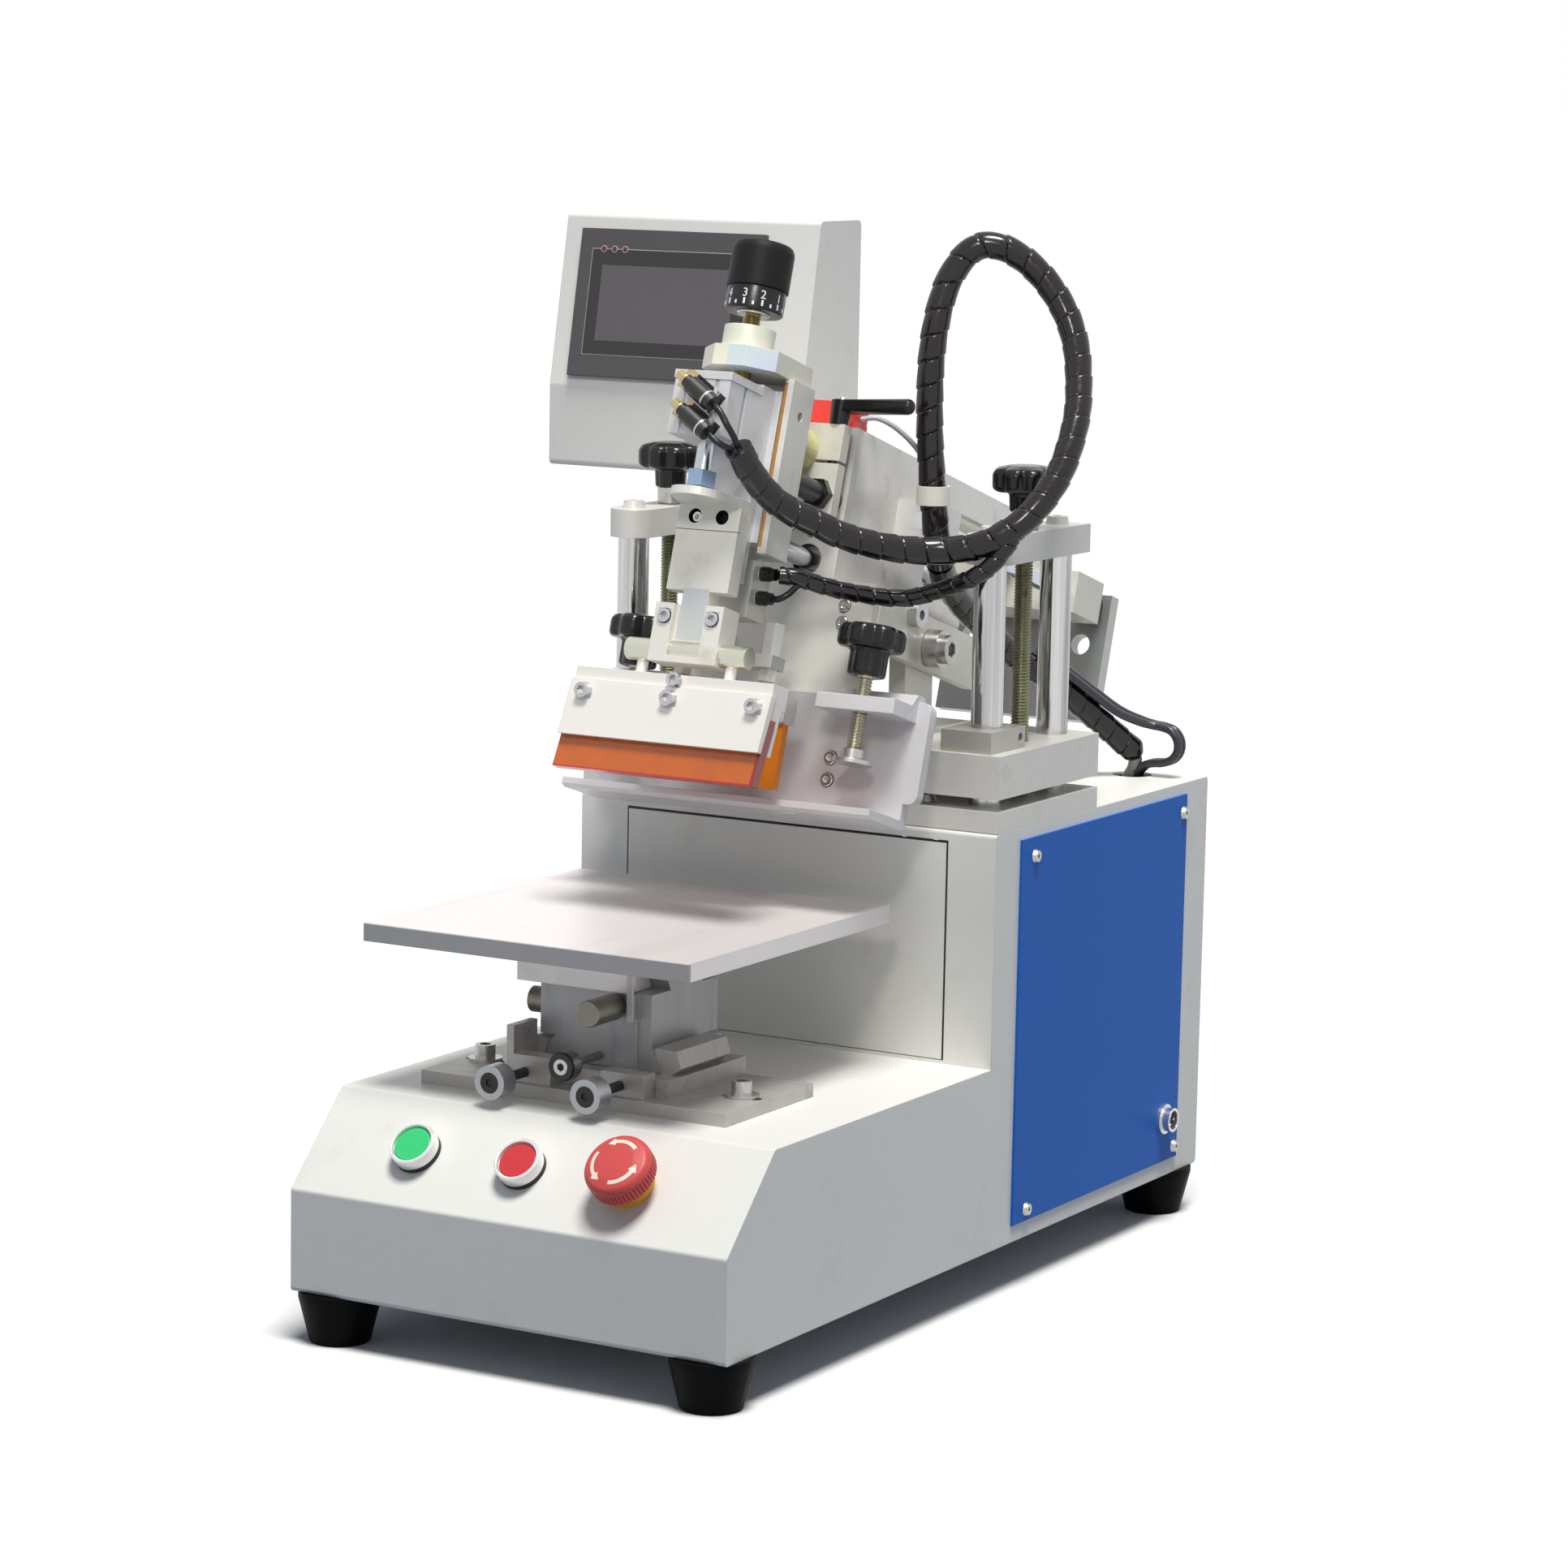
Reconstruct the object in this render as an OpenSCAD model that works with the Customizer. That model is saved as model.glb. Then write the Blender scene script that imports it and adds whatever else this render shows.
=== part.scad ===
// Bench-top pneumatic screen printer: a cabinet with a work table in front and
// two column pairs behind it. The columns carry a height-adjustable plate, and
// on that plate a tilting arm with the screen holder and the print head.
// Millimetres, +Z up, +X to the operator's right, +Y to the rear.
// The origin is the centre of the work table's top face.

/* [Cabinet] */
// cabinet width
cabinet_width = 300; // [260:5:360]
// cabinet depth
cabinet_depth = 618; // [560:2:700]
// height of the front face
front_height = 62.3; // [50:0.1:80]
// height of the deck in front of the box
deck_height = 115.7; // [100:0.1:130]
// horizontal run of the sloping control panel
slope_run = 52.2; // [40:0.1:70]
// distance from the front to the tall box
box_front = 315.2; // [290:0.1:340]
// height of the tall box
box_height = 262.5; // [230:0.5:300]
// sheet thickness
sheet = 2; // [1:0.1:3]
// height of the rubber feet
foot_height = 31; // [15:1:45]
// upper diameter of the rubber feet
foot_top = 50; // [36:1:60]
// lower diameter of the rubber feet
foot_bottom = 37; // [25:1:50]

/* [Work table] */
// table width
table_width = 225; // [180:1:260]
// table depth
table_depth = 238; // [180:1:280]
// table thickness
table_thick = 11; // [8:0.5:16]
// height of the table top above the cabinet bottom
table_top = 218.2; // [200:0.1:230]
// width of the mounting plate
base_width = 213; // [180:1:240]
// depth of the mounting plate
base_depth = 102; // [90:1:130]
// distance between the two slot screws
slot_pitch = 181; // [150:1:200]

/* [Columns] */
// diameter of the guide posts
post_d = 20; // [16:1:25]
// diameter of the lifting screws
screw_d = 12; // [10:1:16]
// front-to-back distance of one post pair
post_pitch = 89; // [70:1:110]
// thickness of the lift plate
lift_plate_thick = 26.9; // [15:0.1:30]
// diameter of the star knobs
star_d = 43; // [32:1:55]

/* [Arm] */
// tilt of the arm with the screen raised, degrees
tilt = 17; // [0:0.5:20]
// height of the arm pivot above the cabinet bottom
pivot_z = 364; // [350:0.5:380]
// diameter of the sliding ram
ram_d = 30; // [20:1:35]
// diameter of the stroke guide rods
rod_d = 12; // [8:1:16]

/* [Print head] */
// width of the squeegee and its holder
squeegee_width = 140; // [100:1:180]
// width of the flood blade
flood_width = 100; // [60:1:140]
// lean of the squeegee blade, degrees
blade_lean = 11; // [0:1:20]
// width of the head channel
channel_width = 60; // [50:1:70]

/* [Controls] */
// distance between neighbouring push buttons
button_pitch = 73.5; // [60:0.5:80]
// diameter of the emergency stop head
stop_head_d = 40; // [30:1:45]
// width of the touch panel console
console_width = 195; // [160:1:220]

/* [Hidden] */
// centre of the work table and of its base plate
table_x = 133.4;
table_y = 161.9;
base_x = 141.5;
base_y = 135;
// column positions
left_x = 18;
right_x = 276;
front_post_y = 344;
screw_y = 388.5;
pivot_y = 385;
// plate levels
plate_front = 316.4;
plate_rear = 452;
lower_top = 275.8;
lift_bottom = 283.4;
lift_top = lift_bottom + lift_plate_thick;
bracket_bottom = 425;
bracket_top = 443;
// arm middle plane and running clearance
arm_x = 150;
ram_z = 101;
run = 0.05;
slope_angle = atan2(deck_height - front_height, slope_run);
slope_half = norm([slope_run, deck_height - front_height]) / 2;
squeegee_x0 = arm_x - squeegee_width / 2;
squeegee_x1 = arm_x + squeegee_width / 2;
// hose routes, in cabinet millimetres
// from the squeegee cylinder round the front of the right-hand column
head_route = [
    [180, 199, 500], [182, 207, 488], [185, 216, 477], [190, 226, 467], [197, 237, 459],
    [205, 248, 453], [214, 260, 446], [225, 275, 440], [237, 290, 436], [251, 306, 434],
    [266, 315, 435], [280, 318, 438], [290.4, 322.2, 442.2]
];
// thin tubes from the squeegee cylinder into that bundle
upper_feed_route = [[170, 195, 520], [175, 194, 513], [179, 196, 506], [180, 198, 502]];
lower_feed_route = [[169.5, 190.5, 503.5], [173, 193, 502], [176, 196, 500]];
// from the flood cylinder up to the first bundle
branch_route = [
    [177.5, 257, 418], [185, 262, 417], [194, 271, 413], [204, 282, 409], [214, 293, 406],
    [225, 303, 404], [238, 312, 404], [251, 316, 408], [265, 317, 413], [279, 315, 419],
    [289, 318, 426]
];
branch_feed_route = [[175.5, 252, 403.5], [180, 253, 404.5], [184, 256, 408]];
// free loop above the column, down through the clip and over the lever tail
loop_route = [
    [292.4, 324.2, 444.4], [303, 332, 453], [311, 343, 466], [315, 357, 482], [315, 371, 500],
    [312, 385, 519], [306, 397, 538], [299, 406, 557], [289, 411, 576], [276, 411, 594],
    [261, 408, 608], [246, 402, 616], [233, 396, 615], [223, 391, 604], [217, 386, 588],
    [214, 381, 567], [213, 378, 545], [213, 377, 520], [214, 377, 495], [216, 378, 465],
    [217, 380, 447], [216, 386, 430], [213, 396, 417], [208, 411, 406], [204, 430, 395.5],
    [202.5, 452, 382], [203, 480, 366.5], [206, 503, 352]
];
// from the lever tail down to the cabinet roof
rear_route = [
    [213, 519, 341], [224, 541, 326], [234, 560, 310.5], [244, 577, 295.5], [252, 588, 284.5],
    [260.5, 596, 275]
];
// air tube on top of it, curled once and led into the roof
tube_route = [
    [221, 521, 349], [232.4, 542.5, 334], [242.4, 561.5, 319.5], [252.4, 578.5, 306.5],
    [262.5, 590.5, 299.6], [270, 595.5, 297], [276.7, 597, 296], [283.6, 597, 293.8],
    [288, 597, 288.1], [288.3, 597, 280.9], [284.4, 597, 275.1], [277.7, 597, 272.3],
    [270, 597, 271.4], [263.8, 597, 269.2], [259.2, 597, 264.6], [257, 597, 258.5]
];
// cable of the position sensor
sensor_route = [
    [177, 357, 507.5], [184, 361, 508], [192, 366, 504], [199, 371, 498], [203.5, 375, 492]
];
$fn = 32;

// helpers

// everything is described from the cabinet's front lower left corner
module at_cabinet()
    translate([-table_x, -table_y, -table_top])
        children();

// x across, y backwards along the arm, z square to the arm
module at_arm()
    at_cabinet()
        translate([0, pivot_y, pivot_z])
            rotate([-tilt, 0, 0])
                children();

// on the sloping control panel, z square to the sheet
module at_slope(x)
    at_cabinet()
        translate([x, slope_half * cos(slope_angle), front_height + slope_half * sin(slope_angle)])
            rotate([slope_angle, 0, 0])
                children();

module block(lo, hi)
    translate(lo)
        cube(hi - lo);

module along_x(x, y, z, d, length)
    translate([x, y, z])
        rotate([0, 90, 0])
            cylinder(d = d, h = length);

module along_y(x, y, z, d, length)
    translate([x, y, z])
        rotate([-90, 0, 0])
            cylinder(d = d, h = length);

module along_z(x, y, z, d, length)
    translate([x, y, z])
        cylinder(d = d, h = length);

// socket head screw, head upwards from z = 0, shank below
module cap_screw(d, length)
{
    difference()
    {
        cylinder(d = d * 1.55, h = d, $fn = 24);
        translate([0, 0, d * 0.5])
            cylinder(d = d * 0.95, h = d, $fn = 6);
    }
    translate([0, 0, -length])
        cylinder(d = d, h = length, $fn = 16);
}

// low domed head on a shank, with a hexagon socket
module button_screw(d, head_d, head_h, length)
{
    difference()
    {
        cylinder(d1 = head_d, d2 = head_d * 0.78, h = head_h, $fn = 24);
        translate([0, 0, head_h * 0.45])
            cylinder(d = d * 0.7, h = head_h, $fn = 6);
    }
    translate([0, 0, -length])
        cylinder(d = d, h = length, $fn = 16);
}

// flat plate across x with rounded corners in the y-z outline
module side_plate(x, thick, points, r = 0)
    translate([x, 0, 0])
        rotate([90, 0, 90])
            linear_extrude(thick)
                if (r > 0)
                    offset(r = r)
                        offset(delta = -r)
                            polygon(points);
                else
                    polygon(points);

// cabinet

module cabinet_outline()
    offset(r = 3)
        offset(delta = -3)
            polygon([
                [0, 0], [0, front_height], [slope_run, deck_height], [box_front, deck_height],
                [box_front, box_height], [cabinet_depth, box_height], [cabinet_depth, 0]
            ]);

module cabinet_shell()
{
    // strips behind the edges of the access opening
    color("#dcdbd6")
    at_cabinet()
        for (x = [28, 260])
            block([x, box_front + sheet, 120], [x + 13, box_front + sheet + 1.5, 254]);
    color("#dcdbd6")
    difference()
    {
        at_cabinet()
        difference()
        {
            rotate([90, 0, 90])
                linear_extrude(cabinet_width)
                    cabinet_outline();
            translate([sheet, 0, 0])
                rotate([90, 0, 90])
                    linear_extrude(cabinet_width - 2 * sheet)
                        offset(delta = -sheet)
                            cabinet_outline();
            // access opening in the front of the tall box
            block([34.4, box_front - 1, 117.9], [266.6, box_front + sheet + 1, 255.6]);
            // opening behind the right-hand panel
            block([cabinet_width - sheet - 1, 357, 21], [cabinet_width + 1, 574, 245]);
            // cable and hose entries in the roof
            along_z(255, 596, box_height - 5, 26, 10);
            along_z(30, 495, box_height - 5, 20, 10);
            // cooling slots in the rear wall
            for (i = [0:6])
                block([70 + 25 * i, cabinet_depth - 5, 150], [74 + 25 * i, cabinet_depth + 1, 215]);
            for (x = [21, 279])
                for (y = [21, 597])
                    along_z(x, y, -1, 8.4, 4);
        }
        for (i = [0:2])
            at_slope(73 + i * button_pitch)
                translate([0, 0, -6])
                    cylinder(d = 22.3, h = 12);
    }
}

module front_access_panel()
{
    color("#dcdbd6")
    at_cabinet()
    {
        block([35, box_front, 118.4], [266, box_front + sheet, 255]);
        // stiffening channel on the inner face
        block([90, box_front + sheet, 135], [92, box_front + 14, 240]);
        block([209, box_front + sheet, 135], [211, box_front + 14, 240]);
    }
}

module right_side_panel()
{
    color("#3f6f9f")
    at_cabinet()
    difference()
    {
        block([cabinet_width, 347, 11], [cabinet_width + 1.6, 584, 255]);
        for (y = [365, 579])
            for (z = [18.5, 243])
                along_x(cabinet_width - 1, y, z, 4.2, 4);
        along_x(cabinet_width - 1, 561.6, 40.2, 14.2, 4);
    }
}

module rubber_feet()
{
    color("#26262a")
    at_cabinet()
    for (x = [21, 279])
        for (y = [21, 597])
            translate([x, y, 0])
                rotate_extrude($fn = 40)
                    polygon([
                        [0, -foot_height + 5], [9, -foot_height + 5], [10, -foot_height],
                        [foot_bottom / 2 - 1, -foot_height], [foot_bottom / 2, -foot_height + 1],
                        [foot_top / 2, -4], [foot_top / 2, 0], [4.1, 0], [4.1, 6], [0, 6]
                    ]);
}

// every socket screw of the housing, the table base and the lower plate
module machine_screws()
{
    color("#c0c1c4")
    at_cabinet()
    {
        for (y = [365, 579])
            for (z = [18.5, 243])
                translate([cabinet_width + 1.6, y, z])
                    rotate([0, 90, 0])
                        button_screw(4, 9, 2.4, 1.5);
        for (x = [60, 240])
            for (y = [335, 434])
                translate([x, y, lower_top])
                    button_screw(8, 13, 4.4, 13.3);
        for (side = [-1, 1])
            translate([base_x + side * slot_pitch / 2, 129, deck_height + 8.3])
            {
                cylinder(d = 21, h = 2);
                translate([0, 0, 2])
                    cap_screw(8, 10.2);
            }
    }
}

module power_socket()
{
    color("#b8bcc0")
    at_cabinet()
    translate([cabinet_width + 1.6, 561.6, 40.2])
        rotate([0, 90, 0])
        {
            difference()
            {
                union()
                {
                    cylinder(d = 20, h = 2.4);
                    cylinder(d = 16, h = 8);
                    translate([0, 0, -14])
                        cylinder(d = 14, h = 14);
                }
                translate([0, 0, 2])
                    cylinder(d = 12.4, h = 10);
            }
            for (a = [90, 210, 330])
                rotate([0, 0, a])
                    translate([3.4, 0, 1])
                        cylinder(d = 1.8, h = 5.5, $fn = 12);
            translate([0, 0, -20])
                cylinder(d = 9, h = 7);
        }
}

// controls on the sloping panel

module button_bezels()
{
    color("#d5d6d8")
    for (i = [0, 1])
        at_slope(73 + i * button_pitch)
            difference()
            {
                union()
                {
                    cylinder(d1 = 29, d2 = 27.6, h = 8.5, $fn = 48);
                    translate([0, 0, -30])
                        cylinder(d = 22, h = 30);
                    translate([0, 0, -sheet - 5])
                        cylinder(d = 28, h = 5, $fn = 6);
                    translate([-14, -11, -48])
                        cube([28, 22, 20]);
                }
                translate([0, 0, 2])
                    cylinder(d = 23.4, h = 8, $fn = 48);
                translate([0, 0, -24])
                    cylinder(d = 8.1, h = 30);
            }
}

module push_cap(tint)
{
    color(tint)
    rotate_extrude($fn = 48)
        polygon([
            [0, -18], [4, -18], [4, 6], [11.6, 6], [11.6, 8.4], [11, 9.2], [0, 9.6]
        ]);
}

module start_button_cap()
    at_slope(73)
        push_cap("#12b04a");

module stop_button_cap()
    at_slope(73 + button_pitch)
        push_cap("#b3121f");

module estop_collar()
{
    color("#f0c21a")
    at_slope(73 + 2 * button_pitch)
        difference()
        {
            union()
            {
                cylinder(d1 = 30, d2 = 28, h = 9, $fn = 48);
                translate([0, 0, -30])
                    cylinder(d = 22, h = 30);
                translate([0, 0, -sheet - 5])
                    cylinder(d = 28, h = 5, $fn = 6);
                translate([-14, -11, -48])
                    cube([28, 22, 20]);
            }
            translate([0, 0, -26])
                cylinder(d = 16.1, h = 40);
        }
}

module estop_head()
{
    color("#c8202a")
    at_slope(73 + 2 * button_pitch)
        rotate_extrude($fn = 48)
            polygon([
                [0, -18], [8, -18], [8, 13], [12, 15.5], [stop_head_d / 2 - 1.5, 16],
                [stop_head_d / 2, 17.5], [stop_head_d / 2, 24], [stop_head_d / 2 - 1.2, 27],
                [stop_head_d / 2 - 4, 29.3], [stop_head_d / 4, 30.6], [0, 31]
            ]);
}

// equipment inside the cabinet

// power supply on the floor of the box, and the valve block beside it
module power_and_valve_units()
{
    color("#c4c6c7")
    at_cabinet()
    {
        difference()
        {
            block([30, 420, 2], [128, 580, 42]);
            block([32, 422, 40.5], [126, 578, 43]);
        }
        for (i = [0:8])
            block([38, 428 + 16 * i, 39], [120, 436 + 16 * i, 40.6]);
        block([150, 470, 2], [270, 500, 24]);
        for (i = [0:4])
        {
            block([153 + 23 * i, 466, 24], [173 + 23 * i, 504, 62]);
            along_y(163 + 23 * i, 454, 40, 8, 12);
        }
    }
}

// work table and its stage

module table_base_plate()
{
    color("#c9c8c2")
    at_cabinet()
    difference()
    {
        block(
            [base_x - base_width / 2, base_y - base_depth / 2, deck_height],
            [base_x + base_width / 2, base_y + base_depth / 2, deck_height + 8.3]
        );
        for (side = [-1, 1])
            hull()
                for (dx = [-9, 9])
                    along_z(base_x + side * slot_pitch / 2 + dx, 129, deck_height - 1, 8.6, 12);
    }
}

module stage_bed()
{
    color("#b4b3ad")
    at_cabinet()
    {
        block([96, 100, 124], [200, 188, 134.6]);
        // undercut rails on both sides
        translate([0, 170, 0])
            rotate([90, 0, 0])
                linear_extrude(57)
                    polygon([
                        [193, 134.6], [186, 134.6], [181.6, 146], [181.6, 149.4], [196.5, 149.4],
                        [200, 139.4]
                    ]);
        translate([0, 188, 0])
            rotate([90, 0, 0])
                linear_extrude(75)
                    polygon([[96, 134.6], [103, 134.6], [107.4, 146], [99, 148.4], [96, 143]]);
    }
}

module adjuster_brackets()
{
    color("#aaa9a4")
    at_cabinet()
    difference()
    {
        union()
        {
            block([94, 87, 124], [125, 99.6, 141]);
            block([94, 87, 124], [99, 99.6, 158]);
            block([94, 99.6, 134.8], [99, 112.6, 158]);
            block([160, 87, 124], [190, 99.6, 138.5]);
        }
        along_y(107, 86, 130.8, 6.1, 15);
        along_y(173.5, 86, 130.8, 6.1, 15);
    }
}

// knob with a hexagon socket on a threaded stud that pushes the stage bed
module thumb_screw(x)
{
    color("#8f9093")
    at_cabinet()
        translate([x, 49, 130.8])
            rotate([-90, 0, 0])
            {
                difference()
                {
                    cylinder(d = 20.5, h = 13);
                    translate([0, 0, -1])
                        cylinder(d = 12.5, h = 2.5);
                    translate([0, 0, -1])
                        cylinder(d = 8, h = 6, $fn = 6);
                }
                translate([0, 0, 13])
                    cylinder(d = 6, h = 37.6, $fn = 24);
            }
}

module thumb_screw_left()
    thumb_screw(107);

module thumb_screw_right()
    thumb_screw(173.5);

module stage_carriage()
{
    color("#c2c1bb")
    at_cabinet()
    difference()
    {
        union()
        {
            block([101, 113, 150], [178, 190, 180.6]);
            block([112, 113, 135], [178, 190, 150]);
            // dovetail foot between the rails of the bed
            translate([0, 190, 0])
                rotate([90, 0, 0])
                    linear_extrude(77)
                        polygon([
                            [103.6, 135], [185.4, 135], [181, 146.4], [178, 148.4],
                            [112, 150], [108, 146.4]
                        ]);
            // crosswise dovetail under the table
            translate([101, 0, 0])
                rotate([90, 0, 90])
                    linear_extrude(77)
                        polygon([[136, 180.6], [172, 180.6], [178, 191.6], [130, 191.6]]);
            // pointer of the crosswise setting
            block([165, 107.1, 164.7], [169, 108.6, 200]);
            block([165, 108.6, 166], [169, 113, 180.4]);
        }
        along_y(155, 112, 172.4, 8.1, 30);
        along_y(143, 105, 141, 5.1, 40);
        along_x(100, 138, 164, 8.1, 30);
        // relief on the front face behind the pointer
        block([169, 112, 134], [179, 114.5, 182]);
    }
}

module stage_lock_knob()
{
    color("#a7a59c")
    at_cabinet()
        translate([155, 80, 172.4])
            rotate([-90, 0, 0])
            {
                cylinder(d1 = 15, d2 = 16, h = 1);
                translate([0, 0, 1])
                    cylinder(d = 16, h = 27);
                translate([0, 0, 28])
                    cylinder(d = 13, h = 4.6);
                translate([0, 0, 32])
                    cylinder(d = 8, h = 22);
            }
}

module depth_feed_screw()
{
    color("#3c3c3e")
    at_cabinet()
        translate([143, 70, 141])
            rotate([-90, 0, 0])
            {
                difference()
                {
                    union()
                    {
                        cylinder(d = 16.4, h = 11, $fn = 24);
                        translate([0, 0, 1.5])
                            cylinder(d = 17.6, h = 8, $fn = 20);
                    }
                    translate([0, 0, -1])
                        cylinder(d = 4, h = 4, $fn = 6);
                }
                translate([0, 0, 11])
                    cylinder(d = 5, h = 60, $fn = 20);
            }
}

module side_feed_knob()
{
    color("#a7a59c")
    at_cabinet()
    {
        along_x(80, 138, 164, 16, 16);
        along_x(96, 138, 164, 12, 4.6);
        along_x(100, 138, 164, 8, 24);
    }
}

module work_table()
{
    color("#d9d4d0")
    at_cabinet()
    {
        block(
            [table_x - table_width / 2, table_y - table_depth / 2, table_top - table_thick],
            [table_x + table_width / 2, table_y + table_depth / 2, table_top]
        );
        // saddle that runs across on the stage
        difference()
        {
            block([86.5, 109, 181], [165, 197, table_top - table_thick]);
            translate([86, 0, 0])
                rotate([90, 0, 90])
                    linear_extrude(105)
                        polygon([[135.6, 180.6], [172.4, 180.6], [178.6, 192], [129.4, 192]]);
        }
    }
}

// columns and lift

module lower_mount_plate()
{
    color("#e1e0da")
    at_cabinet()
    difference()
    {
        block([0, plate_front, box_height], [cabinet_width, plate_rear, lower_top]);
        for (x = [left_x, right_x])
        {
            for (y = [front_post_y, front_post_y + post_pitch])
                along_z(x, y, 266, post_d, 20);
            along_z(x, screw_y, 266, screw_d + 2 * run, 20);
        }
        for (x = [60, 240])
            for (y = [335, 434])
                along_z(x, y, box_height - 1, 8, 20);
    }
}

module guide_posts()
{
    color("#d4d7db")
    at_cabinet()
    for (x = [left_x, right_x])
        for (y = [front_post_y, front_post_y + post_pitch])
            along_z(x, y, 266, post_d, bracket_bottom - 266);
}

module top_bracket(x)
{
    difference()
    {
        linear_extrude(bracket_top - bracket_bottom)
            union()
            {
                translate([x, front_post_y])
                    circle(d = 30, $fn = 48);
                translate([x - 15, front_post_y])
                    square([30, plate_rear - front_post_y - 2]);
            }
        translate([x, screw_y, -1])
            cylinder(d = screw_d + 2 * run, h = 40);
        for (y = [front_post_y, front_post_y + post_pitch])
            translate([x, y, -1])
                cylinder(d = 8, h = 40);
    }
    for (y = [front_post_y, front_post_y + post_pitch])
        translate([x, y, 0])
        {
            cylinder(d = 8, h = bracket_top - bracket_bottom);
            translate([0, 0, bracket_top - bracket_bottom])
                difference()
                {
                    cylinder(d1 = 15, d2 = 13, h = 5);
                    translate([0, 0, 2])
                        cylinder(d = 6, h = 4, $fn = 6);
                }
        }
}

module top_brackets()
{
    color("#e1e0da")
    at_cabinet()
    translate([0, 0, bracket_bottom])
    {
        top_bracket(left_x);
        top_bracket(right_x);
    }
}

module lift_plate()
{
    color("#e1e0da")
    at_cabinet()
    difference()
    {
        block([0, plate_front, lift_bottom], [cabinet_width, plate_rear, lift_top]);
        for (x = [left_x, right_x])
        {
            for (y = [front_post_y, front_post_y + post_pitch])
                along_z(x, y, lift_bottom - 1, post_d + 2 * run, 40);
            along_z(x, screw_y, lift_bottom - 1, screw_d + 2 * run, 40);
        }
        // recess over the bolt heads of the lower plate
        for (x = [60, 240])
            for (y = [335, 434])
                along_z(x, y, lift_bottom - 1, 16, 5);
    }
}

module lift_screw(x)
{
    color("#8b8c74")
    at_cabinet()
        translate([x, screw_y, 0])
            rotate_extrude()
                polygon([
                    [0, 266.5], [screw_d / 2 - 1, 266.5], [screw_d / 2, 267.5],
                    [screw_d / 2, bracket_top + 0.3], [8.5, bracket_top + 0.3],
                    [8.5, bracket_top + 10.8], [0, bracket_top + 10.8]
                ]);
}

module star_knob(x)
{
    color("#1d1d1f")
    at_cabinet()
        translate([x, screw_y, bracket_top + 10.8])
        {
            cylinder(d1 = 20, d2 = 21, h = 12);
            difference()
            {
                translate([0, 0, 12])
                    rotate_extrude($fn = 64)
                        polygon([
                            [0, 0], [star_d / 2 - 2, 0], [star_d / 2, 2], [star_d / 2, 13],
                            [star_d / 2 - 2, 16], [star_d / 4, 17.2], [0, 17.2]
                        ]);
                for (a = [0:45:315])
                    rotate([0, 0, a + 22.5])
                        translate([star_d / 2 + 3, 0, 11])
                            cylinder(d = 11, h = 22, $fn = 20);
            }
        }
}

module lift_screw_left()
    lift_screw(left_x);

module star_knob_left()
    star_knob(left_x);

module lift_screw_right()
    lift_screw(right_x);

module star_knob_right()
    star_knob(right_x);

module post_clamp()
{
    color("#c6c7c6")
    at_cabinet()
    {
        difference()
        {
            block([257, 320, lift_top], [292, 365, lift_top + 13.7]);
            along_z(right_x, front_post_y, lift_top - 1, post_d + 2 * run, 20);
            block([right_x - 1, front_post_y, lift_top - 1], [right_x + 1, 366, lift_top + 20]);
            along_x(285.5, 359, lift_top + 7, 10.4, 10);
        }
        translate([285.5, 359, lift_top + 7])
            rotate([0, 90, 0])
                cap_screw(6.5, 17);
    }
}

// arm

module pivot_supports()
{
    color("#cfd0cb")
    at_cabinet()
    for (x = [arm_x - 55.6, arm_x + 44])
        difference()
        {
            side_plate(x, 11.6, [
                [367, lift_top], [403, lift_top], [403, 362], [396, 376], [374, 376], [367, 362]
            ], 4);
            along_x(x - 1, pivot_y, pivot_z, 12, 20);
            block([x - 1, 360, lift_top - 1], [x + 20, 410, lift_top]);
        }
}

module pivot_bolts()
{
    color("#c5c6c8")
    at_cabinet()
    for (side = [-1, 1])
        translate([arm_x, pivot_y, pivot_z])
            rotate([0, side * 90, 0])
            {
                translate([0, 0, 44])
                    cylinder(d = 12, h = 20);
                translate([0, 0, 63.4])
                    cylinder(d = 24, h = 9.6);
                translate([0, 0, 73])
                    difference()
                    {
                        cylinder(d = 18.5, h = 5.6);
                        translate([0, 0, 1])
                            cylinder(d = 10, h = 6, $fn = 6);
                    }
            }
}

module arm_front_plate()
{
    color("#e1e0da")
    at_arm()
    difference()
    {
        translate([0, -71.5, 0])
            rotate([90, 0, 0])
                linear_extrude(8)
                    difference()
                    {
                        polygon([
                            [88, -105], [212, -105], [212, 24], [arm_x + 31, 24], [arm_x + 31, 121],
                            [arm_x - 31, 121], [arm_x - 31, 24], [88, 24]
                        ]);
                        translate([arm_x, ram_z])
                            circle(d = ram_d + 2, $fn = 40);
                        translate([160, 36])
                            circle(d = 20);
                    }
        for (x = [192, 108])
            for (h = [9, -2])
                along_y(x, -80, h, 9, 5);
        for (x = [145, 160, 130])
            along_y(x, -80, 57 - (x - 145) * 0.2, 8, 4);
    }
}

module arm_levers()
{
    color("#dddbd0")
    at_arm()
    for (x = [arm_x - 63, arm_x + 56])
        difference()
        {
            side_plate(x, 7, [
                [-71.5, -14], [-71.5, 18.5], [64, 18.5], [74, 9], [74, -8], [66, -14]
            ], 3);
            along_x(x - 1, 0, 0, 12 + 2 * run, 10);
        }
    // through bolts and sleeves that brace the levers against the side frames
    color("#dddbd0")
    at_arm()
    for (side = [-1, 1])
        translate([arm_x, -30, 15.4])
            rotate([0, side * 90, 0])
            {
                translate([0, 0, 31])
                    cylinder(d = 8, h = 26);
                translate([0, 0, 63])
                    difference()
                    {
                        cylinder(d = 16, h = 7);
                        translate([0, 0, 3])
                            cylinder(d = 7, h = 6, $fn = 6);
                    }
            }
}

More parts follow.
